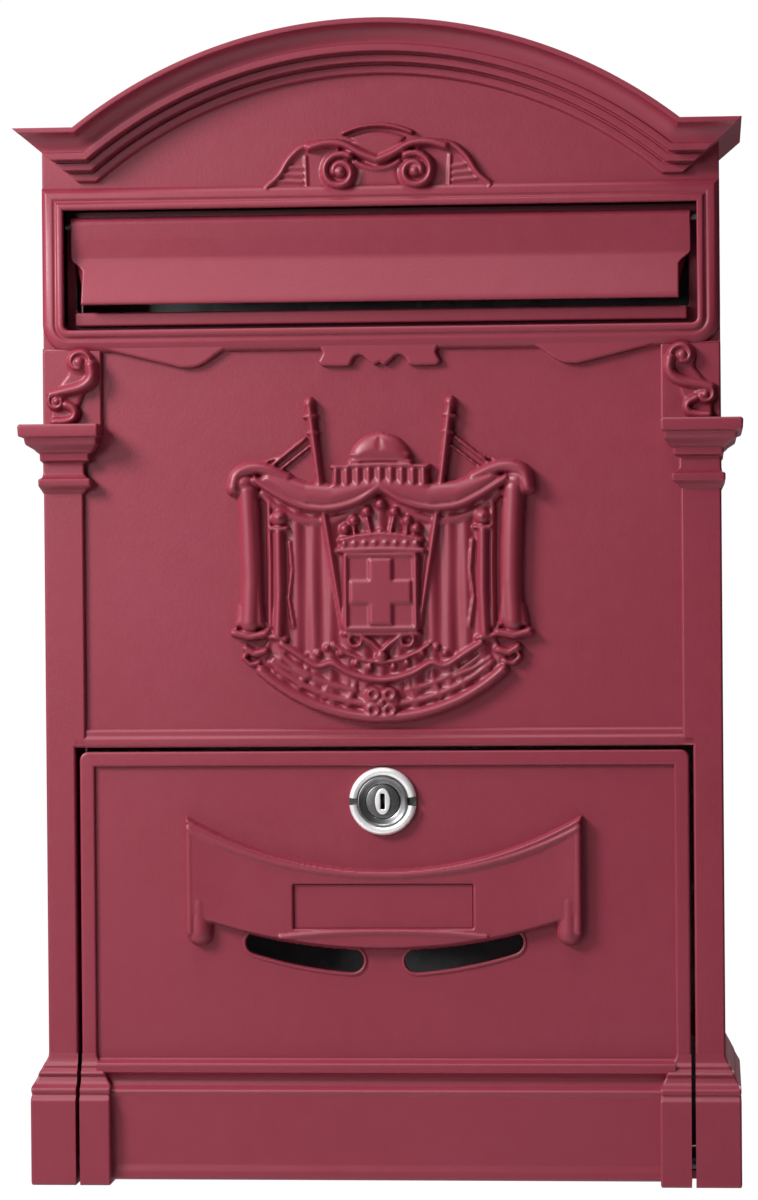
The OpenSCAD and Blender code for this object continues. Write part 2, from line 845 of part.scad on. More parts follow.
// The plate is held off the wall by a pressed pad at each wall hole
module back_plate() {
    color(zinc) difference() {
        union() {
            slab(pad_h, pad_h + back_t) back_outline();
            for (x = [-hole_x, hole_x], z = hole_heights) peg(x, z, pad_r, 0, pad_h + back_t);
        }
        for (x = [-hole_x, hole_x], z = hole_heights) {
            peg(x, z, pad_r - back_t, back_t, pad_h + back_t + lap);
            peg(x, z, wall_hole_d / 2, -lap, pad_h + back_t + lap);
        }
        both_sides() for (z = boss_heights)
            peg(boss_x, z, screw_r + fit_clearance, pad_h - lap, pad_h + back_t + lap);
    }
}

module back_plate_screws() {
    head_r = screw_r + screw_rim;
    head_t = 2;
    color(zinc) both_sides() for (z = boss_heights) difference() {
        union() {
            peg(boss_x, z, head_r, pad_h - head_t, pad_h);
            peg(boss_x, z, screw_r, pad_h - head_t + lap, pad_h + back_t + boss_h - wall - 2);
        }
        slab(pad_h - head_t - lap, pad_h - head_t + 1) {
            rect(boss_x - 0.5, z - 2, boss_x + 0.5, z + 2);
            rect(boss_x - 2, z - 0.5, boss_x + 2, z + 0.5);
        }
    }
}

housing();
back_plate();
back_plate_screws();
mail_flap();
flap_pin_left();
flap_pin_right();
door();
door_pin_left();
door_pin_right();
door_pin_clips();
name_plate();
lock_ring();
lock_barrel();
lock_plug();
lock_wafers();
lock_cam();
cam_washer();
cam_screw();
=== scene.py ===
"""A wall-hung letter box of painted cast metal: the finished look of every part, on a plain studio stage.

All sizes inside the functions are millimetres: x to the right, d out from the wall, z up.
"""

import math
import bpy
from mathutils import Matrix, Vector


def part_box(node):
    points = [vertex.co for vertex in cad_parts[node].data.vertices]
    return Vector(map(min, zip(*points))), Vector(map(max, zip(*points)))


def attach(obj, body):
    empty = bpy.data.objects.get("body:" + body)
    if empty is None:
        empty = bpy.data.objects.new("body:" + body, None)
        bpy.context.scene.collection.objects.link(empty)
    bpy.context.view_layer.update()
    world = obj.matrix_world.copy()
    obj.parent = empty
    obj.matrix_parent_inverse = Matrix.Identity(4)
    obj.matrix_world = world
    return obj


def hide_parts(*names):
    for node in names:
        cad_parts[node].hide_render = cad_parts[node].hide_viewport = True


bl_info = {
    "name": "Wall letter box",
    "version": (1, 0, 0),
    "blender": (4, 5, 0),
    "location": "3D View > Sidebar > Letter box",
    "description": "Builds a cast letter box with an arched cornice, a posting flap and a lockable door",
    "category": "Object",
}

from collections import namedtuple
from types import SimpleNamespace

import bmesh
import bpy
import numpy as np
from bpy.props import FloatProperty, FloatVectorProperty, PointerProperty
from mathutils import Matrix, Vector

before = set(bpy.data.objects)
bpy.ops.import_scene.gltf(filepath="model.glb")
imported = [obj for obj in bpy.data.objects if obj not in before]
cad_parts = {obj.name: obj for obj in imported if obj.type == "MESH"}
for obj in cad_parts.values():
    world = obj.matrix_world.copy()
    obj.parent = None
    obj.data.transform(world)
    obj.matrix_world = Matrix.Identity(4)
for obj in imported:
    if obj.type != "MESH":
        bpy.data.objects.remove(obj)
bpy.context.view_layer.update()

MM = 0.001
MERGE = 1e-6
HIDDEN = 3.0  # how far a laid-on form reaches into the casting behind it
HAIR = 0.03  # keeps two faces from lying in the same plane
FINISHED = "finished "  # sets the finishes apart from the plain colours that the frame brings

Box = namedtuple("Box", "x0 x1 d0 d1 z0 z1")


def box_of(node):
    """A part's box in millimetres"""
    low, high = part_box(node)
    return Box(low.x / MM, high.x / MM, -high.y / MM, -low.y / MM, low.z / MM, high.z / MM)


HOUSING = box_of("housing")
DOOR = box_of("door")
FLAP = box_of("mail_flap")
FLAP_PIN = box_of("flap_pin_right")
NAME_PLATE = box_of("name_plate")
LOCK_RING = box_of("lock_ring")
LOCK_BARREL = box_of("lock_barrel")
LOCK_PLUG = box_of("lock_plug")


def length(name, description, default):
    """A size in millimetres that the sidebar shows as a distance"""
    return FloatProperty(name=name, description=description, default=default * MM, min=0, unit="LENGTH")


def tint(name, description, default):
    return FloatVectorProperty(
        name=name, description=description, default=default, size=3, min=0, max=1, subtype="COLOR"
    )


class BodySizes(bpy.types.PropertyGroup):
    """Sizes of the cast body"""

    cornice_overhang: length("Cornice overhang", "How far the cornice stands out past the side", 8)
    face_setback: length("Face setback", "From the crown of the cornice back to the pilasters", 14)
    panel_setback: length("Panel setback", "From the pilasters back to the main panel", 2)
    pilaster: length("Pilaster", "Width of a pilaster", 14.2)
    wall: length("Wall", "Thickness of the side walls", 3)
    front_wall: length("Front wall", "Thickness of the front", 4)
    door_gap: length("Door gap", "Gap round the door", 1.5)
    ledge: length("Ledge", "Height of the ledge over the door", 6.7)
    soft_edge: length("Soft edge", "Radius that the casting has on its edges", 0.8)


class CorniceSizes(bpy.types.PropertyGroup):
    """Sizes of the arched cornice"""

    rise: length("Rise", "Rise of the arch above the shoulders", 36.6)
    shoulder: length("Shoulder", "Length of each level shoulder", 21.5)
    band: length("Band", "Height of the moulded band", 18.4)
    crown: length("Crown", "Height of the crown's upright edge", 1.7)
    cove: length("Cove", "Radius of the hollow under the crown", 6.4)
    groove: length("Groove", "Width of the grooves between the fillets", 0.8)


class RecessSizes(bpy.types.PropertyGroup):
    """Sizes of the posting recess, its frame and its flap"""

    drop: length("Drop", "From the foot of the cornice down to the recess", 9.7)
    height: length("Height", "Height of the recess", 42.5)
    side: length("Side", "Face left on each side of the recess", 8)
    depth: length("Depth", "Depth behind the pilasters", 8)
    foot: length("Foot", "Height of the face under the recess", 7.4)
    sill: length("Sill", "Height of the sill under the slot", 6)
    slot: length("Slot", "Height of the slot that letters pass through", 27)
    bead: length("Bead", "How far the frame's beads stand out", 2)
    flap_plate: length("Flap plate", "Thickness of the flap", 2.5)
    lip: length("Lip", "Height of the flap's slanted lip", 15.8)


class DoorSizes(bpy.types.PropertyGroup):
    """Sizes of the door and the plinth"""

    panel: length("Panel", "Thickness of the door's panel", 3)
    border: length("Border", "Width of the raised border", 5.3)
    border_rise: length("Border rise", "How far the border stands out", 1.5)
    plinth: length("Plinth", "Height of the plinth's upright face", 33.7)
    moulding: length("Moulding", "Height of the moulding on the plinth", 8.8)
    block: length("Block", "Width of the corner blocks on the door", 10.9)
    fixed_block: length("Fixed block", "Width of the corner blocks on the body, without their overhang", 10.5)
    block_overhang: length("Block overhang", "How far the corner blocks stand out past the side", 5.5)
    plinth_out: length("Plinth out", "How far the middle of the plinth stands out", 3.3)


class RibbonSizes(bpy.types.PropertyGroup):
    """Sizes of the ribbon that holds the name plate, and of the sight slots"""

    width: length("Width", "Width of the ribbon", 140.8)
    top: length("Top", "Height of its upper corners above the foot", 130.3)
    sag: length("Sag", "How far its upper edge sags", 19.3)
    foot: length("Foot", "Height of its lower edge at the middle", 82.9)
    rise: length("Rise", "How far its lower edge rises at the ends", 9.0)
    out: length("Out", "How far it stands out from the door", 4)
    slot_near: length("Slot near end", "From the middle to the nearer end of a sight slot", 7)
    slot_far: length("Slot far end", "From the middle to the farther end of a sight slot", 49.5)
    slot_height: length("Slot height", "Height of a sight slot", 9)
    slot_radius: length("Slot radius", "Radius of the arc that the sight slots follow", 150)


class OrnamentSizes(bpy.types.PropertyGroup):
    """Sizes of the cast ornament"""

    crest_relief: length("Crest relief", "Height of the crest's highest forms", 5.2)
    crest_centre: length("Crest centre", "Height of the crest's centre above the foot", 219.2)
    bracket: length("Bracket", "Height of the scroll brackets", 26)
    bracket_seat: length("Bracket seat", "Width of the plate behind a scroll bracket", 21)
    pitch: length("Pitch", "Spacing of the points that the relief is made with", 0.48)


class Finishes(bpy.types.PropertyGroup):
    """Colours of the finishes"""

    paint: tint("Paint", "The coat of paint", (0.215, 0.019, 0.039))
    paint_pale: tint("Paint, pale", "The paint where it lies thin and catches the light",
                     (0.235, 0.026, 0.049))
    # Painted reflection: the ring's near-white colour stands in for the white room mirrored in its chrome.
    chrome: tint("Chrome", "The bright ring", (0.97, 0.95, 0.96))
    steel: tint("Steel", "The lock's steel", (0.30, 0.30, 0.31))
    # Darker than bare galvanised zinc: partly the sheet's own grey, partly painted shade for the inside of
    # the box seen through the slots.
    zinc: tint("Zinc", "Galvanised sheet", (0.44, 0.455, 0.47))
    brass: tint("Brass", "The wafers", (0.70, 0.50, 0.22))


GROUPS = {
    "box_body": BodySizes,
    "box_cornice": CorniceSizes,
    "box_recess": RecessSizes,
    "box_door": DoorSizes,
    "box_ribbon": RibbonSizes,
    "box_ornament": OrnamentSizes,
    "box_finishes": Finishes,
}


def sizes(group):
    """A property group's sizes in millimetres"""
    values = getattr(bpy.context.scene, group)
    return SimpleNamespace(**{name: getattr(values, name) / MM for name in GROUPS[group].__annotations__})


def layout():
    """The places that the parts share, worked out from the frame and the sizes"""
    body, cornice, recess, door = (sizes(g) for g in ("box_body", "box_cornice", "box_recess", "box_door"))
    g = SimpleNamespace(soft=body.soft_edge)
    g.half, g.crown, g.top = HOUSING.x1, HOUSING.d1, HOUSING.z1
    g.side = g.half - body.cornice_overhang
    g.face = g.crown - body.face_setback
    g.panel = g.face - body.panel_setback
    g.inner = g.panel - body.front_wall
    g.pilaster = g.side - body.pilaster
    g.cavity = g.side - body.wall
    g.shoulder = g.top - cornice.rise
    g.cornice_foot = g.shoulder - cornice.band
    g.recess_x = g.side - recess.side
    g.recess_top = g.cornice_foot - recess.drop
    g.recess_foot = g.recess_top - recess.height
    g.recess_back = g.face - recess.depth
    g.frame_foot = g.recess_foot - recess.foot
    g.jamb = g.side - door.fixed_block
    g.opening_top = DOOR.z1 + body.door_gap
    g.panel_foot = g.opening_top + body.ledge
    g.plinth_side = g.side + door.block_overhang
    g.plinth_top = door.plinth + door.moulding
    g.door_panel = LOCK_RING.d0
    g.block = DOOR.d1
    g.chord = g.half - cornice.shoulder
    g.arch_r = (g.chord**2 + cornice.rise**2) / (2 * cornice.rise)
    g.arch_z = g.top - g.arch_r
    g.capital_top = g.frame_foot - sizes("box_ornament").bracket
    return g


# ---- shaping ----


def at(x, d, z):
    """A place in the frame, from millimetres"""
    return Vector((x * MM, -d * MM, z * MM))


def soften(points, radius, steps=3, closed=False):
    """Rounds a path's corners; no curve takes more than half of a side"""
    points = [np.array(p, float) for p in points]
    path = []
    for i, corner in enumerate(points):
        if not closed and i in (0, len(points) - 1):
            path.append(tuple(corner))
            continue
        before, after = points[i - 1], points[(i + 1) % len(points)]
        start = corner + (before - corner) * min(radius / max(np.linalg.norm(before - corner), 1e-9), 0.5)
        end = corner + (after - corner) * min(radius / max(np.linalg.norm(after - corner), 1e-9), 0.5)
        for step in range(steps + 1):
            t = step / steps
            path.append(tuple((1 - t) ** 2 * start + 2 * t * (1 - t) * corner + t * t * end))
    return path


def closer(path, step):
    """Adds points so that none lie farther apart than a step"""
    full = [path[0]]
    for start, end in zip(path, path[1:]):
        count = max(math.ceil(math.dist(start, end) / step), 1)
        full += [tuple(np.array(start) + (np.array(end) - start) * i / count) for i in range(1, count + 1)]
    return full


def arc(x, z, radius, start, end, steps):
    """Points round a centre, angles in degrees from the right, anticlockwise"""
    turns = [math.radians(start + (end - start) * i / steps) for i in range(steps + 1)]
    return [(x + radius * math.cos(a), z + radius * math.sin(a)) for a in turns]


def grid(columns, rows, place):
    """A net of points, each laid where place(column, row) says"""
    bm = bmesh.new()
    bmesh.ops.create_grid(bm, x_segments=columns - 1, y_segments=rows - 1, size=0.5)
    for v in bm.verts:
        column = round((v.co.x + 0.5) * (columns - 1))
        row = round((v.co.y + 0.5) * (rows - 1))
        v.co = at(*place(column, row))
    return bm


def close(bm):
    """Joins the seams, fills the ends and turns every face outwards"""
    bmesh.ops.remove_doubles(bm, verts=bm.verts, dist=MERGE)
    bmesh.ops.dissolve_degenerate(bm, dist=MERGE, edges=bm.edges)
    bmesh.ops.holes_fill(bm, edges=[e for e in bm.edges if e.is_boundary])
    bmesh.ops.recalc_face_normals(bm, faces=bm.faces)
    return bm


def sweep(outline, stations, ring=False):
    """Carries a closed outline through stations, each a function from an outline point to a place"""
    loop = list(outline) + [outline[0]]
    stops = list(stations) + ([stations[0]] if ring else [])
    return close(grid(len(loop), len(stops), lambda i, j: stops[j](*loop[i])))


def loft(rings):
    """Skins closed rings of places, one above the other"""
    loops = [list(r) + [r[0]] for r in rings]
    return close(grid(len(loops[0]), len(loops), lambda i, j: loops[j][i]))


def plate(outline, back, front, holes=(), edge=0.0, segments=3):
    """A flat plate cut to an outline, with holes, and its front rim rounded"""
    bm = bmesh.new()
    for loop in (outline, *holes):
        verts = [bm.verts.new(at(x, back, z)) for x, z in loop]
        for i, v in enumerate(verts):
            bm.edges.new((verts[i - 1], v))
    bmesh.ops.remove_doubles(bm, verts=bm.verts, dist=MERGE)
    bmesh.ops.triangle_fill(bm, use_beauty=True, use_dissolve=True, edges=bm.edges)
    bmesh.ops.dissolve_limit(bm, angle_limit=0.01, verts=bm.verts, edges=bm.edges,
                             use_dissolve_boundaries=False)
    made = bmesh.ops.extrude_face_region(bm, geom=bm.faces[:])
    lifted = [v for v in made["geom"] if isinstance(v, bmesh.types.BMVert)]
    bmesh.ops.translate(bm, verts=lifted, vec=at(0, front - back, 0))
    bmesh.ops.recalc_face_normals(bm, faces=bm.faces)
    if edge:
        front_y = -front * MM
        rim = [
            e
            for e in bm.edges
            if all(abs(v.co.y - front_y) < MERGE for v in e.verts)
            and any(abs(f.normal.y) < 0.5 for f in e.link_faces)
        ]
        bmesh.ops.bevel(
            bm, geom=rim, offset=edge * MM, offset_type="OFFSET", segments=segments, profile=0.5,
            affect="EDGES", clamp_overlap=True, material=-1,
        )
    return bm


def lathe(profile, x, z, steps=48):
    """Turns an open (radius, d) profile that starts and ends on the axis, or a closed one clear of it"""
    bm = bmesh.new()
    verts = [bm.verts.new(at(x + r, d, z)) for r, d in profile]
    edges = [bm.edges.new(pair) for pair in zip(verts, verts[1:])]
    bmesh.ops.spin(
        bm, geom=verts + edges, cent=at(x, 0, z), axis=(0, 1, 0), dvec=(0, 0, 0), angle=2 * math.pi,
        steps=steps, use_merge=True, use_duplicate=False,
    )
    return close(bm)


def block(x0, x1, d0, d1, z0, z1, edge=0.6):
    """A bar with every edge rounded"""
    bm = bmesh.new()
    bmesh.ops.create_cube(bm, size=1)
    size, middle = at(x1 - x0, d1 - d0, z1 - z0), at((x0 + x1) / 2, (d0 + d1) / 2, (z0 + z1) / 2)
    bmesh.ops.scale(bm, verts=bm.verts, vec=(size.x, abs(size.y), size.z))
    bmesh.ops.translate(bm, verts=bm.verts, vec=middle)
    bmesh.ops.bevel(
        bm, geom=bm.edges[:], offset=edge * MM, segments=3, profile=0.5, affect="EDGES",
        clamp_overlap=True, material=-1,
    )
    return bm


def mirrored(bm):
    """The same form on the other side"""
    other = bm.copy()
    bmesh.ops.scale(other, verts=other.verts, vec=(-1, 1, 1))
    bmesh.ops.reverse_faces(other, faces=other.faces)
    return other


def together(*parts):
    """Several forms in one mesh"""
    whole = bmesh.new()
    carrier = bpy.data.meshes.new("carrier")
    for part in parts:
        part.to_mesh(carrier)
        part.free()
        whole.from_mesh(carrier)
    bpy.data.meshes.remove(carrier)
    return whole


def piece(name, bm, look, body, nodes, slot="paint", crease=38, flat=True):
    """Turns a form into a finished piece that rides on a body and stands for CAD nodes"""
    mesh = bpy.data.meshes.new(name)
    bm.to_mesh(mesh)
    bm.free()
    mesh.shade_smooth()
    mesh.set_sharp_from_angle(angle=math.radians(crease))
    mesh.materials.append(bpy.data.materials[FINISHED + look])
    obj = bpy.data.objects.new(name, mesh)
    bpy.context.scene.collection.objects.link(obj)
    if flat and crease < 180:
        settle_shading(obj)
    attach(obj, body)
    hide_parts(*nodes)
    return obj


def settle_shading(obj):
    """Lets the large flat faces keep their own direction, so that their rims alone look rounded"""
    weigh = obj.modifiers.new("flat faces", "WEIGHTED_NORMAL")
    weigh.keep_sharp = True


def round_edges(obj, width, segments=2, angle=40):
    """Takes the sharpness off the edges that are left"""
    bevel = obj.modifiers.new("soft edges", "BEVEL")
    bevel.width, bevel.segments = width * MM, segments
    bevel.limit_method, bevel.angle_limit = "ANGLE", math.radians(angle)
    obj.modifiers.move(len(obj.modifiers) - 1, 0)
    return obj


def pair(name, bm, **settings):
    """A left and a right piece; the form given is the right one"""
    piece(name + "_left", mirrored(bm), **settings)
    piece(name + "_right", bm, **settings)


CAST = {"look": "paint", "body": "housing", "nodes": ["housing"]}
HUNG = {"look": "paint", "body": "door", "nodes": ["door"]}


class Relief:
    """Forms raised from a flat ground: heights in millimetres over a net of points"""

    def __init__(self, width, low, high, pitch, ground=-0.8):
        columns, rows = round(width / pitch) + 1, round((high - low) / pitch) + 1
        self.x, self.z = np.meshgrid(np.linspace(-width / 2, width / 2, columns),
                                     np.linspace(low, high, rows))
        self.height = np.full(self.x.shape, ground)
        self.ground = ground

    def lay(self, form):
        self.height = np.maximum(self.height, form)

    def axis(self, both):
        return np.abs(self.x) if both else self.x

    def near(self, path, both=True):
        """Distance from every point to a path, and the share of the path where its nearest point lies"""
        x, z = self.axis(both), self.z
        path = np.array(path, float)
        steps = np.hypot(*(path[1:] - path[:-1]).T)
        total, gone = steps.sum(), 0.0
        best, share = np.full(x.shape, 1e9), np.zeros(x.shape)
        for (ax, az), (bx, bz), step in zip(path[:-1], path[1:], steps):
            if step < 1e-9:
                continue
            t = np.clip(((x - ax) * (bx - ax) + (z - az) * (bz - az)) / step**2, 0, 1)
            distance = np.hypot(x - ax - t * (bx - ax), z - az - t * (bz - az))
            closer = distance < best
            best = np.where(closer, distance, best)
            share = np.where(closer, (gone + t * step) / total, share)
            gone += step
        return best, share

    def cord(self, path, width, height, base=0.0, tip=1.0, both=True):
        """A round-backed cord along a path; its width and height run to a share, tip, at the far end"""
        distance, share = self.near(path, both)
        full = 1 + (tip - 1) * share
        q = distance / (width / 2 * full)
        back = base + height * full * np.sqrt(np.clip(1 - q * q, 0, 1))
        self.lay(np.where(q < 1, back, self.ground))

    def dome(self, x, z, rx, rz, height, base=0.0, both=True, turn=0.0):
        """A rounded boss"""
        a = math.radians(turn)
        u, w = self.axis(both) - x, self.z - z
        q = np.hypot((u * math.cos(a) + w * math.sin(a)) / rx, (w * math.cos(a) - u * math.sin(a)) / rz)
        self.lay(np.where(q < 1, base + height * np.sqrt(np.clip(1 - q * q, 0, 1)), self.ground))

    def inside(self, outline, both=True):
        """Distance inside a closed outline, negative outside; a mirrored outline runs on over the middle"""
        x, z = self.axis(both), self.z
        if both:
            outline = [(px if px else -9, pz) for px, pz in outline]
        distance, _ = self.near(list(outline) + [outline[0]], both)
        crossed = np.zeros(x.shape, bool)
        for (ax, az), (bx, bz) in zip(outline, list(outline[1:]) + [outline[0]]):
            if az != bz:
                crossed ^= ((az > z) != (bz > z)) & (x < (bx - ax) * (z - az) / (bz - az) + ax)
        return np.where(crossed, distance, -distance)

    def slab(self, outline, height, edge=1.0, base=0.0, both=True, wave=None):
        """A raised flat with rounded edges; wave adds folds to its top"""
        depth = self.inside(outline, both)
        t = np.clip(depth / edge, 0, 1)
        top = base + height * np.sqrt(np.clip(1 - (1 - t) ** 2, 0, 1))
        if wave is not None:
            top = top + wave * t
        self.lay(np.where(depth > 0, top, self.ground))

    def cut(self, form, floor):
        """Sinks what lies under a mask down to a floor"""
        self.height = np.where(form, np.minimum(self.height, floor), self.height)

    def settle(self, passes=1):
        """Runs the paint over: softens every step a little"""
        for _ in range(passes):
            h = np.pad(self.height, 1, mode="edge")
            near = h[:-2, 1:-1] + h[2:, 1:-1] + h[1:-1, :-2] + h[1:-1, 2:]
            self.height = (4 * self.height + near) / 8

    def form(self, x, d, z, turned=False):
        """The relief as a closed form whose ground lies at (x, d, z)"""
        rows, columns = self.height.shape
        sign = -1 if turned else 1

        def place(i, j):
            return x + sign * self.x[j, i], d + self.height[j, i], z + self.z[j, i]

        bm = grid(columns, rows, place)
        floor = -(d + self.ground + 0.02) * MM
        bare = [f for f in bm.faces if all(v.co.y > floor for v in f.verts)]
        bmesh.ops.delete(bm, geom=bare, context="FACES")
        back = bm.verts[:]
        bmesh.ops.extrude_face_region(bm, geom=bm.faces[:])
        for v in back:
            v.co.y = -(d - HIDDEN + 1) * MM
        bmesh.ops.recalc_face_normals(bm, faces=bm.faces)
        return bm


# ---- finishes ----


def node_group(name, inputs, outputs):
    """An empty shader group with its sockets; each socket is (name, kind, default)"""
    group = bpy.data.node_groups.new(name, "ShaderNodeTree")
    for label, kind, default in inputs:
        socket = group.interface.new_socket(label, in_out="INPUT", socket_type="NodeSocket" + kind)
        socket.default_value = default
    for label, kind in outputs:
        group.interface.new_socket(label, in_out="OUTPUT", socket_type="NodeSocket" + kind)
    entry, leave = group.nodes.new("NodeGroupInput"), group.nodes.new("NodeGroupOutput")
    return group, entry.outputs, leave.inputs


def add(tree, kind, **values):
    """A node with its settings and its unlinked inputs"""
    node = tree.nodes.new("ShaderNode" + kind)
    for key, value in values.items():
        if hasattr(node, key):
            setattr(node, key, value)
        else:
            node.inputs[key.replace("_", " ")].default_value = value
    return node


def noise(tree, place, scale, detail=2.0, roughness=0.5):
    node = add(tree, "TexNoise", Scale=scale, Detail=detail, Roughness=roughness)
    tree.links.new(place, node.inputs["Vector"])
    return node.outputs["Fac"]


def spread(tree, value, low, high, start=0.3, stop=0.7):
    """Maps the useful part of a pattern onto a range"""
    node = add(tree, "MapRange")
    for label, number in (("From Min", start), ("From Max", stop), ("To Min", low), ("To Max", high)):
        node.inputs[label].default_value = number
    tree.links.new(value, node.inputs["Value"])
    return node.outputs["Result"]


def blend(tree, factor, first, second):
    """A colour between two, by a factor"""
    node = add(tree, "Mix", data_type="RGBA")
    for socket, value in ((node.inputs[0], factor), (node.inputs[6], first), (node.inputs[7], second)):
        if isinstance(value, bpy.types.NodeSocket):
            tree.links.new(value, socket)
        else:
            socket.default_value = value
    return node.outputs[2]


def coat_group():
    """A baked powder coat: cloudy colour, a fine orange-peel skin and an uneven gloss"""
    group, given, result = node_group(
        "powder coat",
        [
            ("Colour", "Color", (0.3, 0.05, 0.08, 1)),
            ("Pale", "Color", (0.4, 0.09, 0.13, 1)),
            ("Clouds", "Float", 9.0),
            ("Peel", "Float", 1100.0),
            ("Depth", "Float", 0.12),
            ("Gloss low", "Float", 0.40),
            ("Gloss high", "Float", 0.50),
        ],
        [("Colour", "Color"), ("Roughness", "Float"), ("Normal", "Vector")],
    )
    place = add(group, "TexCoord").outputs["Object"]
    cloud = add(group, "TexNoise", Detail=3.0, Roughness=0.55)
    peel = add(group, "TexNoise", Detail=1.0, Roughness=0.4)
    for node, scale in ((cloud, "Clouds"), (peel, "Peel")):
        group.links.new(place, node.inputs["Vector"])
        group.links.new(given[scale], node.inputs["Scale"])
    grain = noise(group, place, 160.0, detail=4.0, roughness=0.6)
    shade = add(group, "Math", operation="ADD")
    group.links.new(spread(group, cloud.outputs["Fac"], 0.0, 0.75), shade.inputs[0])
    group.links.new(spread(group, grain, 0.0, 0.25), shade.inputs[1])
    group.links.new(blend(group, shade.outputs[0], given["Colour"], given["Pale"]), result["Colour"])
    gloss = add(group, "MapRange")
    group.links.new(grain, gloss.inputs["Value"])
    group.links.new(given["Gloss low"], gloss.inputs["To Min"])
    group.links.new(given["Gloss high"], gloss.inputs["To Max"])
    group.links.new(gloss.outputs["Result"], result["Roughness"])
    bump = add(group, "Bump", Distance=0.0003)
    group.links.new(peel.outputs["Fac"], bump.inputs["Height"])
    group.links.new(given["Depth"], bump.inputs["Strength"])
    group.links.new(bump.outputs["Normal"], result["Normal"])
    return group


def metal_group():
    """Plated or drawn metal: faint drawing lines, smudges and a varied gloss"""
    group, given, result = node_group(
        "worked metal",
        [
            ("Colour", "Color", (0.6, 0.6, 0.6, 1)),
            ("Dull", "Color", (0.4, 0.4, 0.4, 1)),
            ("Lines", "Float", 900.0),
            ("Smudges", "Float", 70.0),
            ("Depth", "Float", 0.05),
            ("Gloss low", "Float", 0.1),
            ("Gloss high", "Float", 0.3),
        ],
        [("Colour", "Color"), ("Roughness", "Float"), ("Normal", "Vector")],
    )
    place = add(group, "TexCoord").outputs["Object"]
    drawn = add(group, "Mapping")
    drawn.inputs["Scale"].default_value = (1, 1, 0.06)
    group.links.new(place, drawn.inputs["Vector"])
    lines = add(group, "TexNoise", Detail=2.0)
    smudge = add(group, "TexNoise", Detail=4.0, Roughness=0.6)
    group.links.new(drawn.outputs["Vector"], lines.inputs["Vector"])
    group.links.new(place, smudge.inputs["Vector"])
    group.links.new(given["Lines"], lines.inputs["Scale"])
    group.links.new(given["Smudges"], smudge.inputs["Scale"])
    factor = spread(group, smudge.outputs["Fac"], 0.0, 1.0)
    group.links.new(blend(group, factor, given["Colour"], given["Dull"]), result["Colour"])
    gloss = add(group, "MapRange")
    group.links.new(smudge.outputs["Fac"], gloss.inputs["Value"])
    group.links.new(given["Gloss low"], gloss.inputs["To Min"])
    group.links.new(given["Gloss high"], gloss.inputs["To Max"])
    group.links.new(gloss.outputs["Result"], result["Roughness"])
    bump = add(group, "Bump", Distance=0.0002)
    group.links.new(lines.outputs["Fac"], bump.inputs["Height"])
    group.links.new(given["Depth"], bump.inputs["Strength"])
    group.links.new(bump.outputs["Normal"], result["Normal"])
    return group


def finish(name, group, values, **shader_values):
    """A material whose colour, gloss and skin come from a group, with its own values"""
    material = bpy.data.materials.new(FINISHED + name)
    material.use_nodes = True
    tree = material.node_tree
    shader = tree.nodes["Principled BSDF"]
    worked = tree.nodes.new("ShaderNodeGroup")
    worked.node_tree = group
    for key, value in values.items():
        worked.inputs[key].default_value = value
    for out, into in (("Colour", "Base Color"), ("Roughness", "Roughness"), ("Normal", "Normal")):
        tree.links.new(worked.outputs[out], shader.inputs[into])
    for key, value in shader_values.items():
        shader.inputs[key.replace("_", " ")].default_value = value
    return material


def solid(colour, share=1.0):
    return tuple(c * share for c in colour) + (1.0,)


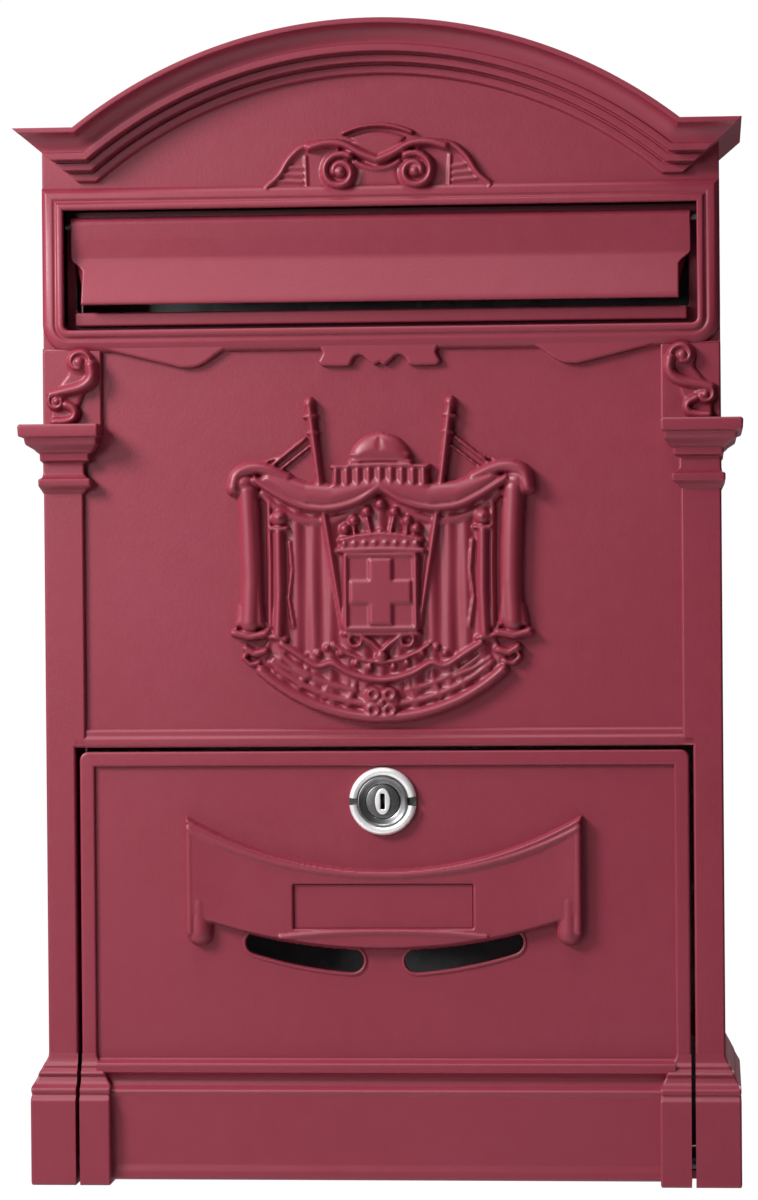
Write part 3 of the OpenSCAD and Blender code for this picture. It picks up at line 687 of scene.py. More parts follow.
class LETTERBOX_OT_finishes(bpy.types.Operator):
    """Makes the paint and the metals"""

    bl_idname = "letterbox.finishes"
    bl_label = "Finishes"

    def execute(self, context):
        looks = context.scene.box_finishes
        coat, metal = coat_group(), metal_group()
        finish(
            "paint", coat, {"Colour": solid(looks.paint), "Pale": solid(looks.paint_pale)},
            Specular_IOR_Level=0.5,
        )
        # A rougher coat for the bosses inside the box, darker than the outer paint as painted shade.
        finish(
            "shaded inside paint", coat,
            {"Colour": solid(looks.paint, 0.8), "Pale": solid(looks.paint), "Depth": 0.25, "Gloss low": 0.5,
             "Gloss high": 0.65},
        )
        # Painted reflection: a near-white colour with little metal stands in for the white room mirrored in
        # the chrome.
        finish(
            "chrome", metal,
            {"Colour": solid(looks.chrome), "Dull": solid(looks.chrome, 0.95), "Depth": 0.01,
             "Gloss low": 0.2, "Gloss high": 0.3},
            Metallic=0.4, Coat_Weight=0.4,
        )
        finish(
            "lock steel", metal,
            {"Colour": solid(looks.steel), "Dull": solid(looks.steel, 0.6), "Smudges": 260.0, "Depth": 0.12,
             "Gloss low": 0.25, "Gloss high": 0.45},
            Metallic=1.0,
        )
        # Built on the darkened zinc grey, so it carries some painted shade too.
        finish(
            "plated steel", metal,
            {"Colour": solid(looks.zinc, 1.15), "Dull": solid(looks.zinc, 0.85), "Depth": 0.06,
             "Gloss low": 0.22, "Gloss high": 0.4},
            Metallic=1.0,
        )
        # Dull dark steel, set darker than the lock's steel as painted shade: the flap pins stay in the shade
        # under the frame and the seat shows dark in the lock ring's notches.
        finish(
            "pin steel", metal,
            {"Colour": solid(looks.steel, 0.55), "Dull": solid(looks.steel, 0.35), "Gloss low": 0.4,
             "Gloss high": 0.55},
            Metallic=1.0,
        )
        finish(
            "brass", metal,
            {"Colour": solid(looks.brass), "Dull": solid(looks.brass, 0.7), "Gloss low": 0.25,
             "Gloss high": 0.45},
            Metallic=1.0,
        )
        self.zinc_sheet(looks, metal)
        return {"FINISHED"}

    def zinc_sheet(self, looks, metal):
        """Galvanised sheet: the worked metal with crystal spangle over it"""
        # Its grey is darker than bare zinc: painted shade for the inside of the box.
        material = finish(
            "zinc sheet", metal,
            {"Colour": solid(looks.zinc), "Dull": solid(looks.zinc, 0.8), "Lines": 300.0, "Depth": 0.02,
             "Gloss low": 0.3, "Gloss high": 0.5},
            Metallic=1.0,
        )
        tree = material.node_tree
        worked = next(n for n in tree.nodes if n.type == "GROUP")
        spangle = add(tree, "TexVoronoi", Scale=140.0)
        tree.links.new(add(tree, "TexCoord").outputs["Object"], spangle.inputs["Vector"])
        grey = add(tree, "RGBToBW")
        tree.links.new(spangle.outputs["Color"], grey.inputs["Color"])
        pale = blend(tree, spread(tree, grey.outputs["Val"], 0.0, 0.55), worked.outputs["Colour"],
                     solid(looks.zinc, 1.35))
        tree.links.new(pale, tree.nodes["Principled BSDF"].inputs["Base Color"])


# ---- the cast body ----


class LETTERBOX_OT_shell(bpy.types.Operator):
    """Side walls, floor, front and the screw bosses"""

    bl_idname = "letterbox.shell"
    bl_label = "Body shell"

    def execute(self, context):
        g, body = layout(), sizes("box_body")
        wall, top = body.wall, g.shoulder - 2
        floor_front = 62.0

        def stop(x, z, inward_x, inward_z, limit=1e9):
            return lambda t, d: (x + t * inward_x, min(d, limit), z + t * inward_z)

        walls = sweep(
            soften([(0, 0), (0, g.panel - HAIR), (wall, g.panel - HAIR), (wall, 0)], 0.5, closed=True),
            [
                stop(-g.side, top, 1, 0), stop(-g.side, 0, 1, 1), stop(-g.jamb, 0, 0, 1),
                stop(-g.jamb, 0, 0, 1, floor_front), stop(g.jamb, 0, 0, 1, floor_front),
                stop(g.jamb, 0, 0, 1), stop(g.side, 0, -1, 1), stop(g.side, top, -1, 0),
            ],
        )
        piece("body_shell", walls, **CAST)
        front = plate(
            [(-g.side + 1.2, g.opening_top), (g.side - 1.2, g.opening_top), (g.side - 1.2, g.shoulder - 6),
             *reversed([(x, self.underside(g, x)) for x in np.linspace(-g.chord, g.chord, 41)]),
             (-g.side + 1.2, g.shoulder - 6)],
            g.inner, g.panel,
            holes=[[(-g.recess_x, g.recess_foot), (g.recess_x, g.recess_foot),
                    (g.recess_x, g.recess_top), (-g.recess_x, g.recess_top)]],
        )
        strike = block(-DOOR.x1, DOOR.x1, LOCK_PLUG.d0 + 3, g.inner + 1, g.opening_top, g.opening_top + wall)
        piece("front_panel", together(front, strike), **CAST)
        bosses = []
        for z in (g.plinth_top + 8, (g.plinth_top + g.shoulder) / 2, g.shoulder - 14):
            profile = [(2.1, 4), (4.6, 4), (4.6, 17), (5.2, 19.4), (6.4, 20), (0.01, 20), (0.01, 17),
                       (2.1, 17)]
            boss = lathe(profile + profile[:1], g.cavity - 4.1, z, steps=24)
            bosses += [boss, mirrored(boss)]
        # The bosses take the darker inside paint: painted shade inside the box.
        piece("screw_bosses", together(*bosses), **{**CAST, "look": "shaded inside paint"})
        return {"FINISHED"}

    @staticmethod
    def underside(g, x):
        """Height of the arch over x, inside the moulded band"""
        return g.arch_z + math.sqrt((g.arch_r - 8) ** 2 - x * x)


class LETTERBOX_OT_cornice(bpy.types.Operator):
    """The arched cornice: crown, hollow and three fillets"""

    bl_idname = "letterbox.cornice"
    bl_label = "Cornice"

    def execute(self, context):
        g, cornice = layout(), sizes("box_cornice")
        slope = cornice.shoulder / cornice.band
        roof = 7.0
        outline = self.profile(g, cornice) + [(cornice.band, g.inner), (roof, g.inner), (roof, 0), (0, 0)]

        def end(side):
            return lambda s, d: (side * (g.half - s * slope), d, g.shoulder - s)

        def on_arch(share):
            def place(s, d):
                radius = g.arch_r - s
                reach = math.acos((g.shoulder - s - g.arch_z) / radius) * share
                return radius * math.sin(reach), d, g.arch_z + radius * math.cos(reach)

            return place

        shares = np.linspace(-1, 1, 73)
        band = sweep(outline, [end(-1), *(on_arch(t) for t in shares), end(1)])
        round_edges(piece("cornice", band, **CAST, crease=30), 0.35)
        return {"FINISHED"}

    @staticmethod
    def profile(g, cornice):
        """From the crown's back edge round to the foot: how far down, and how far out"""
        start = cornice.crown
        cove = cornice.cove
        hollow = [
            (start + 0.2 + cove - cove * math.cos(a), g.crown - 0.4 - cove * math.sin(a))
            for a in np.linspace(0.0, math.pi / 2, 8)
        ]
        out, down = g.crown - 0.4 - cove, start + 0.2 + cove
        steps = 3
        tall = (cornice.band - down) / steps
        fall = (out - g.face + 0.6) / (steps - 1)
        path = [(0, g.crown), (start, g.crown)] + hollow
        for i in range(steps):
            top, front = down + i * tall, out + 0.9 - i * fall
            path += [(top, front), (top + tall - cornice.groove, front)]
            path += [(top + tall - cornice.groove, front - fall - 0.5), (top + tall, front - fall - 0.5)]
        path[-2:] = [(cornice.band - 0.3, g.panel + 0.8), (cornice.band, g.panel - 0.2)]
        return soften(path, 0.55, steps=3)


class LETTERBOX_OT_posting_frame(bpy.types.Operator):
    """The frame round the posting recess, its box behind and the apron below"""

    bl_idname = "letterbox.posting_frame"
    bl_label = "Posting frame"

    def execute(self, context):
        g, recess = layout(), sizes("box_recess")
        top = g.face + recess.bead
        wide = recess.side + HAIR
        border = [
            (0, top - 0.6), (0.5, top), (1.8, top), (2.4, top - 0.5), (2.8, g.face + 0.9),
            (3.4, g.face + 0.8),
            (3.9, g.face + 1.2), (4.6, g.face + 1.2), (6.0, g.face + 0.8), (7.2, g.face),
            (wide, g.panel + 0.7),
            (wide, g.panel - 2), (3, g.panel - 2), (3, g.recess_back - 3), (0, g.recess_back - 3),
        ]
        stations = []
        for side, first in ((1, -90), (-1, 180)):
            if side < 0:
                stations += [self.mitre(1, g), self.mitre(-1, g)]
            for angle in np.linspace(first, first + 90, 9):
                stations.append(self.corner(side * g.recess_x, g.recess_foot, math.radians(angle), 2.0))
        piece("posting_frame", sweep(soften(border, 0.45, 2, closed=True), stations, ring=True), **CAST,
              crease=32)
        self.box(g, recess)
        self.apron(g)
        return {"FINISHED"}

    @staticmethod
    def corner(x, z, angle, fillet):
        """A station on a rounded lower corner; the fillet is the radius at the recess's own edge"""
        middle_x, middle_z = x - math.copysign(fillet, x), z + fillet

        def place(out, d):
            reach = fillet + out
            return middle_x + reach * math.cos(angle), d, middle_z + reach * math.sin(angle)

        return place

    @staticmethod
    def mitre(side, g):
        """The station on a square upper corner"""
        return lambda out, d: (side * (g.recess_x + out), d, g.recess_top + out)

    @staticmethod
    def box(g, recess):
        slot_foot = g.recess_foot + recess.sill
        wide, slot_x = g.recess_x + 2.5, FLAP.x1 - 1
        back = plate(
            [(-wide, g.recess_foot - 2.5), (wide, g.recess_foot - 2.5), (wide, g.recess_top + 2.5),
             (-wide, g.recess_top + 2.5)],
            g.recess_back - 3, g.recess_back,
            holes=[soften([(-slot_x, slot_foot), (slot_x, slot_foot), (slot_x, slot_foot + recess.slot),
                           (-slot_x, slot_foot + recess.slot)], 2, closed=True)],
            edge=0.6,
        )
        sill = block(-slot_x + 0.4, slot_x - 0.4, g.recess_back - 1, g.face - 2.6, g.recess_foot + 1.4,
                     slot_foot + 0.4, edge=0.9)
        walls = []
        for x0, x1, z0, z1 in (
            (-wide, wide, g.recess_top, g.recess_top + 2.5),
            (-wide, wide, g.recess_foot - 2.5, g.recess_foot),
            (-wide, -g.recess_x, g.recess_foot, g.recess_top),
            (g.recess_x, wide, g.recess_foot, g.recess_top),
        ):
            walls.append(block(x0, x1, g.recess_back - 3, g.face, z0, z1, edge=0.3))
        piece("recess_box", together(back, sill, *walls), **CAST)

    @staticmethod
    def apron(g):
        """The shaped plate under the frame: a lobe on each side and a scalloped bracket in the middle"""
        level, drop, inner, peak, outer = g.frame_foot + 1.3, 7.6, 50.6, 67.0, 102.0
        swing = [
            (inner + (peak - inner) * t, level - drop * (1 - math.cos(math.pi * t)) / 2)
            for t in np.linspace(0, 1, 15)
        ]
        fall = [(peak + 3, level - drop - 0.1), (outer - 4, level - 0.9), (outer, level - 0.4)]
        bracket_foot = g.frame_foot - 6.3
        scallops = [(0, bracket_foot + 1.2), (1.8, bracket_foot), (3.4, bracket_foot + 1.3)]
        scallops += arc(7, bracket_foot + 1.2, 2.6, 180, 0, 8)[1:-1] + [(10.4, bracket_foot),
                                                                        (14.5, bracket_foot - 0.2)]
        side = [(20.5, bracket_foot), (21.8, bracket_foot + 1.4), (20, bracket_foot + 4.6),
                (21.5, level - 0.2)]
        lower = scallops + side + [(26, level)] + swing + fall
        right = soften(lower, 0.7, 2)
        outline = [(-x, z) for x, z in reversed(right[1:])] + right
        outline += [(outer, level + 3), (-outer, level + 3)]
        piece("apron", plate(outline, g.panel - 1, g.panel + 2.5, edge=1.1, segments=4), **CAST, crease=50)


class LETTERBOX_OT_pilasters(bpy.types.Operator):
    """Pilasters, their capitals, the ledge over the door and the corner blocks"""

    bl_idname = "letterbox.pilasters"
    bl_label = "Pilasters and plinth"

    def execute(self, context):
        g, door = layout(), sizes("box_door")
        shaft = plate(
            [(g.pilaster, g.opening_top), (g.jamb, g.opening_top), (g.jamb, g.plinth_top - 2),
             (g.side + HAIR, g.plinth_top - 2), (g.side + HAIR, g.frame_foot + 1),
             (g.pilaster, g.frame_foot + 1)],
            g.inner, g.face, edge=g.soft,
        )
        seat_x = g.side - sizes("box_ornament").bracket_seat
        seat = plate(
            soften([(seat_x, g.capital_top - 2), (g.side + 2 * HAIR, g.capital_top - 2),
                    (g.side + 2 * HAIR, g.frame_foot + 0.4), (seat_x, g.frame_foot + 0.4)], 1, closed=True),
            g.inner, g.face + HAIR, edge=g.soft,
        )
        pair("pilaster", together(shaft, seat), **CAST)
        pair("capital", self.capital(g), **CAST, crease=32)
        ledge = sweep(
            soften([(g.panel - 1, g.opening_top), (g.face - 0.6, g.opening_top),
                    (g.face, g.opening_top + 0.8),
                    (g.face, g.opening_top + 3.2), (g.panel + 1.1, g.opening_top + 3.9),
                    (g.panel + 1.1, g.panel_foot - 0.9), (g.panel, g.panel_foot),
                    (g.panel - 1, g.panel_foot)],
                   0.5, closed=True),
            [lambda d, z: (-g.jamb, d, z), lambda d, z: (g.jamb, d, z)],
        )
        piece("ledge", ledge, **CAST)
        fixed = corner_block(g, door, (g.jamb, g.jamb), (g.plinth_side, g.side + 2 * HAIR), 0,
                             web=(g.cavity + 1, DOOR.d0 - 2))
        pair("corner_block", fixed, **CAST, crease=32)
        return {"FINISHED"}

    @staticmethod
    def capital(g):
        """Rows from the neck up; each is a height below the top and how far it reaches past the shaft's side,
        past the shaft's inner edge and past its face"""
        rows = [
            (24.6, 0.1, 0.0, 0.0), (23.0, 0.9, 1.5, 1.5), (21.7, 1.5, 3.2, 3.4), (19.4, 1.5, 3.2, 3.6),
            (18.8, 0.4, 1.6, 1.8), (17.4, 0.1, 0.6, 0.9), (13.6, 0.1, 0.6, 0.9), (13.1, 0.6, 1.6, 2.2),
            (12.6, 0.9, 2.6, 3.2), (10.4, 0.9, 2.6, 3.4), (10.0, 1.6, 3.6, 4.2), (8.9, 2.6, 4.6, 5.2),
            (7.2, 5.3, 5.8, 7.4), (6.2, 5.6, 5.9, 7.9), (4.9, 5.7, 6.0, 8.2), (4.2, 7.6, 6.7, 9.8),
            (0.6, 7.8, 6.9, 10.0), (0.0, 7.2, 6.3, 9.4),
        ]
        rows = soften(rows, 0.35, 1)
        return loft([
            ring(g.pilaster - inner, g.side + side, 0, g.face + out, g.capital_top - drop, 0.9,
                 web=(g.cavity + 1, g.inner + 1))
            for drop, side, inner, out in rows
        ])


def ring(x0, x1, d0, d1, z, radius, inner=True, outer=True, steps=4, web=None):
    """A level loop round a bar, its front corners rounded where asked. A web (x, d) keeps the part of the
    bar behind d no wider than the wall, so that the box stays open inside"""
    back = [(web[0], d0), (web[0], web[1]), (x0, web[1])] if web else [(x0, d0)]
    left = arc(x0 + radius, d1 - radius, radius, 180, 90, steps) if inner else [(x0, d1)] * (steps + 1)
    right = arc(x1 - radius, d1 - radius, radius, 90, 0, steps) if outer else [(x1, d1)] * (steps + 1)
    return [(x, d, z) for x, d in [*back, *left, *right, (x1, d0)]]


def corner_block(g, door, inner, outer, back, web=None):
    """A block of the plinth with the moulding that carries it back to the pilaster. The sides are given at
    the foot and at the top; each row is a height and the shares of the way out to the
    block's side and face"""
    top = g.plinth_top
    rows = [
        (0.0, 0.95, 0.93), (0.7, 1.0, 1.0), (29.7, 1.0, 1.0), (30.4, 1.0, 0.97), (31.2, 0.98, 0.84),
        (31.6, 0.96, 0.79), (32.2, 0.96, 0.79), (32.6, 0.99, 0.85), (33.8, 1.0, 0.86), (34.6, 0.99, 0.74),
        (35.1, 0.94, 0.56), (36.2, 0.82, 0.42), (38.0, 0.64, 0.34), (38.5, 0.62, 0.42), (39.4, 0.56, 0.44),
        (40.3, 0.46, 0.26), (40.9, 0.40, 0.18), (41.3, 0.37, 0.22), (42.0, 0.30, 0.20), (42.9, 0.20, 0.04),
        (44.8, 0.02, 0.02), (46.0, 0.0, 0.005),
    ]
    rows = soften([(z * top / (door.plinth + door.moulding), side, face) for z, side, face in rows], 0.25, 1)
    rings = []
    for z, side, face in rows:
        x0, x1 = inner[1] + (inner[0] - inner[1]) * side, outer[1] + (outer[0] - outer[1]) * side
        front = g.face + (g.block - g.face) * face
        rings.append(ring(x0, x1, back, front, z, 0.8, inner[0] != inner[1], outer[0] != outer[1], web=web))
    return loft(rings)


class LETTERBOX_OT_ornament(bpy.types.Operator):
    """Scroll brackets and the ornament over the posting frame"""

    bl_idname = "letterbox.ornament"
    bl_label = "Scrolls"

    def execute(self, context):
        g, ornament = layout(), sizes("box_ornament")
        self.brackets(g, ornament)
        self.over_frame(g)
        return {"FINISHED"}

    @staticmethod
    def brackets(g, ornament):
        """Each bracket: an eye with its band, the band's run down and out, and a curl at the foot"""
        relief = Relief(22.4, 0, 28, 0.3)
        curl = volute(1.2, 22.4, 4.4, 2.0, -20, 300)
        run = soften([(5.4, 21.4), (6.2, 16.8), (2.4, 13.4), (-4.0, 12.2), (-8.8, 11.0)], 4, 5)
        relief.slab([(-9.6, 0.4), (-2.4, 0.4), (0.6, 5), (5.6, 18), (4, 25), (-2.4, 25), (-3.6, 18),
                     (-9.8, 10)],
                    1.6, 1.6, both=False)
        relief.dome(1.2, 22.4, 5.0, 5.0, 2.6, base=0.4, both=False)
        relief.cord(curl, 2.4, 3.2, base=0.8, both=False)
        relief.dome(1.2, 22.4, 1.9, 1.9, 1.8, base=2.8, both=False)
        relief.cord(run, 4.8, 4.6, base=0.4, both=False, tip=0.8)
        relief.dome(-6.8, 8.6, 4.0, 4.0, 3.0, base=0.4, both=False)
        relief.cord(volute(-6.8, 8.6, 3.3, 1.6, 90, 290), 2.0, 2.6, base=1.4, both=False)
        relief.dome(-6.8, 8.6, 1.4, 1.4, 1.6, base=3.0, both=False)
        foot = soften([(-3.6, 7.4), (-0.2, 5.8), (-0.4, 2.6), (-4.0, 1.4), (-8.0, 1.4)], 2, 4)
        relief.cord(foot, 3.4, 3.6, base=0.4, both=False)
        relief.settle(2)
        for side, turned in ((-1, False), (1, True)):
            place = (side * (g.side - 12.2), g.face, g.capital_top - 0.4)
            name = "scroll_bracket_left" if side < 0 else "scroll_bracket_right"
            piece(name, relief.form(*place, turned=turned), **CAST, crease=180)

    @staticmethod
    def over_frame(g):
        """Two volutes joined by a band, a small arch between them and a feathered wing on each side"""
        foot = g.recess_top + 4.2
        relief = Relief(214, -2, 28, 0.36)
        wing = soften([(17, 1.4), (38.5, 1.4), (40.5, 2.4), (35, 6.8), (31.5, 13), (27, 17.2), (20, 18.6),
                       (14, 17)],
                      2.5, 3)
        relief.slab(wing, 1.3, 1.4)
        relief.cord(wing[3:], 2.4, 2.3, base=0.6, tip=1.2)
        relief.cord([(24.6, 2.2), (39.6, 2.0)], 1.6, 1.4, base=0.9)
        relief.cord([(25.2, 3), (25.6, 13.4)], 1.5, 1.2, base=0.9)
        for i in range(3):
            low = 4.7 + 2.4 * i
            relief.cord([(26.6, low), (34.8 - 2.0 * i, low + 0.5)], 1.5, 0.9, base=1.2)
        relief.cord(volute(13.2, 7.9, 6.6, 2.3, 120, -480), 3.0, 3.9, base=1.4)
        relief.dome(13.2, 7.9, 2.0, 2.0, 2.4, base=3.4)
        relief.dome(13.2, 7.9, 7.6, 7.6, 2.8)
        band = soften([(24, 16.6), (18.5, 18.4), (11.6, 18.0), (6.2, 14.4), (0, 12.0)], 4, 5)
        relief.cord(band, 3.2, 4.4, base=0.8)
        relief.slab([(-9, 2), (9, 2), (7, 12), (-7, 12)], 1.9, 2.4, both=False)
        relief.cord(arc(0, 21.5, 12.5, 232, 308, 12), 2.6, 2.6, base=0.6, both=False)
        relief.cord(arc(0, -3, 27.5, 64, 116, 12), 1.9, 2.6, base=0.4, both=False)
        relief.slab(arc(0, -3, 25.5, 66, 114, 12) + [(-6, 15), (0, 13.4), (6, 15)], 0.9, 1.4, both=False)
        swell = [(39, 3.2), (50, 2.6), (66, 1.5), (84, 0.6), (106, 0.0)]
        relief.slab([(0, 3.4)] + swell + [(106, -3), (0, -3)], 1.2, 0.6)
        relief.cord(soften(swell, 9, 5), 1.2, 0.6, base=1.0)
        relief.settle(2)
        piece("pediment_ornament", relief.form(0, g.panel, foot), **CAST, crease=180)


def volute(x, z, start, end, angle, turn, steps=26):
    """A spiral from one radius to another, through a turn in degrees"""
    path = []
    for i in range(steps + 1):
        t = i / steps
        radius, a = start + (end - start) * t, math.radians(angle + turn * t)
        path.append((x + radius * math.cos(a), z + radius * math.sin(a)))
    return path


class LETTERBOX_OT_crest(bpy.types.Operator):
    """The cast crest: a framed shield in a mantle, under a domed cap"""

    bl_idname = "letterbox.crest"
    bl_label = "Crest"

    def execute(self, context):
        g, ornament = layout(), sizes("box_ornament")
        relief = Relief(109, -57, 66, ornament.pitch)
        self.ground(relief)
        self.mantle(relief)
        self.columns(relief)
        self.hem(relief)
        self.shield(relief)
        self.crown(relief)
        relief.settle(1)
        share = ornament.crest_relief / 4.2
        relief.height = np.where(relief.height > 0, relief.height * share, relief.height)
        piece("crest", relief.form(0, g.panel, ornament.crest_centre), **CAST, crease=180)
        return {"FINISHED"}

    @staticmethod
    def ground(relief):
        """The cloth behind everything, in soft upright folds"""
        cloth = [(0, 26), (18, 20), (30, 21), (41, 27), (41, -27), (45, -35)] + arc(0, 8.6, 62, -44, -90, 14)
        folds = 0.35 * np.cos(relief.x * 1.05) + 0.2 * np.cos(relief.x * 0.43 + relief.z * 0.1)
        relief.slab(cloth, 1.1, 1.6, wave=folds)

    @staticmethod
    def mantle(relief):
        """Swags of drapery from the crown out to the rolled hoods, with their cords"""
        swag = [(0, 27.5), (8.1, 21.8), (17.8, 19.4), (27.5, 20.2), (35.5, 24.2), (44.4, 29.9),
                (40, 33.4), (33, 31.6), (26, 29.2), (17, 28.4), (8, 30.4), (0, 33)]
        relief.slab(swag, 3.6, 4.2, base=0.6)
        relief.cord(soften(swag[:6], 4, 4), 3.2, 3.4, base=0.9)
        under = soften([(3, 24), (10, 17.6), (19, 14.8), (29, 15.8), (37, 20), (42, 25)], 5, 4)
        relief.cord(under, 3.4, 1.6, base=0.3)
        hood = soften([(52.0, 27.0), (51.0, 32.4), (45.2, 34.4), (39.4, 33.4), (33, 30.4)], 3, 5)
        relief.cord(hood, 6.0, 4.4, base=0.6, tip=0.7)
        relief.dome(48.4, 29.0, 4.4, 3.6, 4.0, base=0.4)
        relief.cord([(38.8, 34.7), (26.7, 44.4)], 1.5, 1.5, base=0.3)
        relief.cord([(36.6, 32.6), (25.2, 41.6)], 1.3, 1.2, base=0.3)
        relief.cord([(44.6, 35.0), (34.5, 38.6), (28.6, 43.4)], 1.2, 1.1, base=0.2)

    @staticmethod
    def columns(relief):
        """The rolled cloth on each side: the great roll, a thin roll inside it and the scrolls at its foot"""
        relief.cord([(47.2, 26), (46.4, 10), (46.0, -6), (46.6, -20.5)], 7.8, 3.8, base=0.4)
        relief.cord([(44.2, 22), (43.6, 4), (43.0, -20)], 1.7, 0.8, base=2.4)
        relief.slab([(42, -14), (51, -14), (52.6, -22.6), (40.8, -22.6)], 2.7, 2.2, base=0.2)
        relief.cord([(41.0, -24.4), (46.5, -25.6), (52.2, -24.2)], 3.2, 3.0, base=0.5)
        relief.cord([(41.2, -30.6), (45.0, -31.6), (48.2, -29.6)], 3.0, 2.7, base=0.4)
        relief.cord([(47.4, -30.4), (49.0, -33.0), (46.4, -35.4), (43.4, -34.6)], 2.0, 2.0, base=0.4)
        relief.cord([(36.2, 11.5), (36.0, -10), (36.6, -25)], 4.0, 2.8, base=0.6)
        relief.cord([(39.6, 22), (39.2, 0), (39.4, -22)], 1.8, 1.5, base=0.6)
        relief.dome(36, 16.4, 3.0, 3.0, 2.6, base=0.9)
        relief.dome(36, 16.4, 1.2, 1.2, 0.9, base=3.0)
        relief.cord([(33.2, 12.6), (38.8, 12.6)], 1.6, 1.4, base=1.8)
        relief.cord([(34.0, -26.4), (39.4, -25.6)], 2.2, 2.0, base=0.9)
        relief.cord([(32.4, 8), (31.6, -2), (32.8, -12), (31.2, -22)], 1.4, 0.9, base=1.2)

    @staticmethod
    def hem(relief):
        """The lower edge of the cloth and the garland that hangs over it"""
        centre, radius = 8.6, 63.0
        relief.cord(arc(0, centre, radius, -47, -90, 18), 4.0, 2.9, base=0.4)
        relief.cord(arc(0, centre, radius - 4.6, -48, -90, 18), 2.6, 1.2, base=0.9)
        relief.cord(arc(0, centre, radius - 9.0, -50, -80, 14), 2.2, 0.8, base=1.0)
        for i in range(4):
            x = 12 + 8.4 * i
            z = centre - math.sqrt((radius - 4) ** 2 - x * x)
            relief.cord([(x, z), (x - 2.6, z + 7), (x - 2.0, z + 11)], 3.2, 0.9, base=1.0, tip=0.5)
        garland = [(26.7, -33.8), (22.4, -36.6), (17.8, -34.6), (11.3, -38.7), (5, -40.6), (0, -41.1)]
        relief.cord(soften(garland, 2, 3), 2.4, 2.3, base=1.0)
        relief.cord([(35.4, -28.2), (31.4, -30.6), (27.6, -33.2)], 2.6, 2.4, base=0.9)
        relief.cord([(38.4, -33.4), (32, -37.4), (26, -39.8)], 1.6, 1.3, base=0.9)
        relief.cord(volute(9.2, -27.0, 2.3, 2.2, 0, 360), 1.3, 1.4, base=1.4)
        relief.cord([(13, -24.4), (7.4, -25.2), (2.6, -28.6), (0, -31.2)], 1.7, 1.8, base=1.3)
        relief.cord([(17, -28.6), (12.6, -31.4), (7, -33.8), (0, -35)], 1.5, 1.5, base=1.3)
        relief.dome(0, -32.6, 2.2, 2.2, 1.8, base=1.6)
        for x, z in ((4.2, -36.4), (9, -35), (14.4, -31.4), (19.4, -29.6), (22.6, -31.6)):
            relief.dome(x, z, 1.4, 1.4, 1.5, base=1.2)
        relief.slab(soften([(0, -43.4), (6.2, -44.4), (6.6, -53.6), (0, -54.8)], 2, 3), 1.9, 1.2, base=0.6)
        for x, z in ((2.9, -46.2), (2.9, -51.8)):
            relief.cord(volute(x, z, 1.9, 1.7, 0, 360), 1.2, 1.2, base=2.2)
        relief.dome(0, -49, 1.3, 1.3, 1.5, base=2.2)

    @staticmethod
    def shield(relief):
        """A framed shield quartered by a broad plain cross"""
        frame_line = [(0, 3.2), (12.4, 3.2), (12.4, -23.0), (0, -23.0)]
        relief.slab([(0, 4.2), (13.4, 4.2), (13.4, -24.2), (0, -24.2)], 2.4, 0.9, base=0.4)
        relief.cord(frame_line, 1.7, 1.2, base=2.5)
        relief.slab([(0, 1.8), (4.2, 1.8), (4.2, -5.8), (11.0, -5.8), (11.0, -14.2), (4.2, -14.2),
                     (4.2, -21.6),
                     (0, -21.6)], 1.1, 0.7, base=2.6)
        relief.cord([(-13.4, -24.8), (13.4, -24.8)], 1.6, 1.3, base=1.6, both=False)
        head = soften([(15.2, 3.6), (14.2, 8.6), (8.0, 10.6), (0, 11.2)], 2, 3)
        relief.slab([(0, 3.4)] + head, 2.6, 1.2, base=0.6)
        relief.cord([(15.2, 4.6), (0, 5.0)], 1.8, 1.5, base=2.4)
        relief.cord([(14.4, 8.4), (8, 9.9), (0, 10.5)], 1.5, 1.3, base=2.3)
        for i in range(4):
            relief.dome(1.9 + 3.6 * i, 7.4 - 0.1 * i, 1.0, 1.0, 1.0, base=2.9)
        for x, z in ((0, 21), (4.9, 18.4), (9.5, 15.2), (12.6, 12.4)):
            relief.dome(x, z, 1.9, 1.9, 2.4, base=1.4)
        relief.cord([(3.6, 11.4), (4.6, 15.8)], 1.6, 1.6, base=1.2)
        relief.cord([(9.2, 10.6), (9.4, 13.6)], 1.5, 1.5, base=1.2)
        relief.slab([(0, 11), (2.8, 11), (0, 18.6)], 2.2, 0.9, base=1.0)

    @staticmethod
    def crown(relief):
        """The domed cap over the crest with its fluted band, and the poles that cross behind it"""
        relief.cord([(24.8, 55.2), (21, 24.2), (13.6, -22)], 3.2, 2.6, base=0.9, tip=0.62)
        relief.dome(24.9, 56.6, 2.0, 2.6, 2.6, base=1.0)
        relief.cord([(22.8, 52.4), (26.6, 52.0)], 1.4, 1.3, base=2.0)
        relief.cord([(22.2, 46.6), (25.6, 46.2)], 1.2, 1.0, base=2.1)
        quarter = np.linspace(0, math.pi / 2, 14)
        dome = [(0, 35)] + [(11.4 * math.cos(a), 35.2 + 11.2 * math.sin(a)) for a in quarter]
        relief.slab(dome, 3.2, 6.0, base=0.8)
        relief.cord([(10.2, 38.4), (6, 39.2), (0, 39.5)], 1.2, 0.9, base=2.6)
        relief.cord([(10.9, 36.0), (6, 36.4), (0, 36.6)], 1.2, 0.9, base=2.6)
        flutes = 0.55 * np.cos(relief.x * math.pi / 1.95)
        relief.slab([(0, 34.8), (16.9, 34.4), (17.3, 27.2), (0, 26.6)], 3.0, 1.1, base=0.6, wave=flutes)
        relief.cord([(17, 34.3), (0, 34.9)], 1.5, 1.2, base=2.9)
        relief.cord([(17.2, 27.4), (0, 26.9)], 1.4, 1.1, base=2.7)


# ---- the moving parts ----


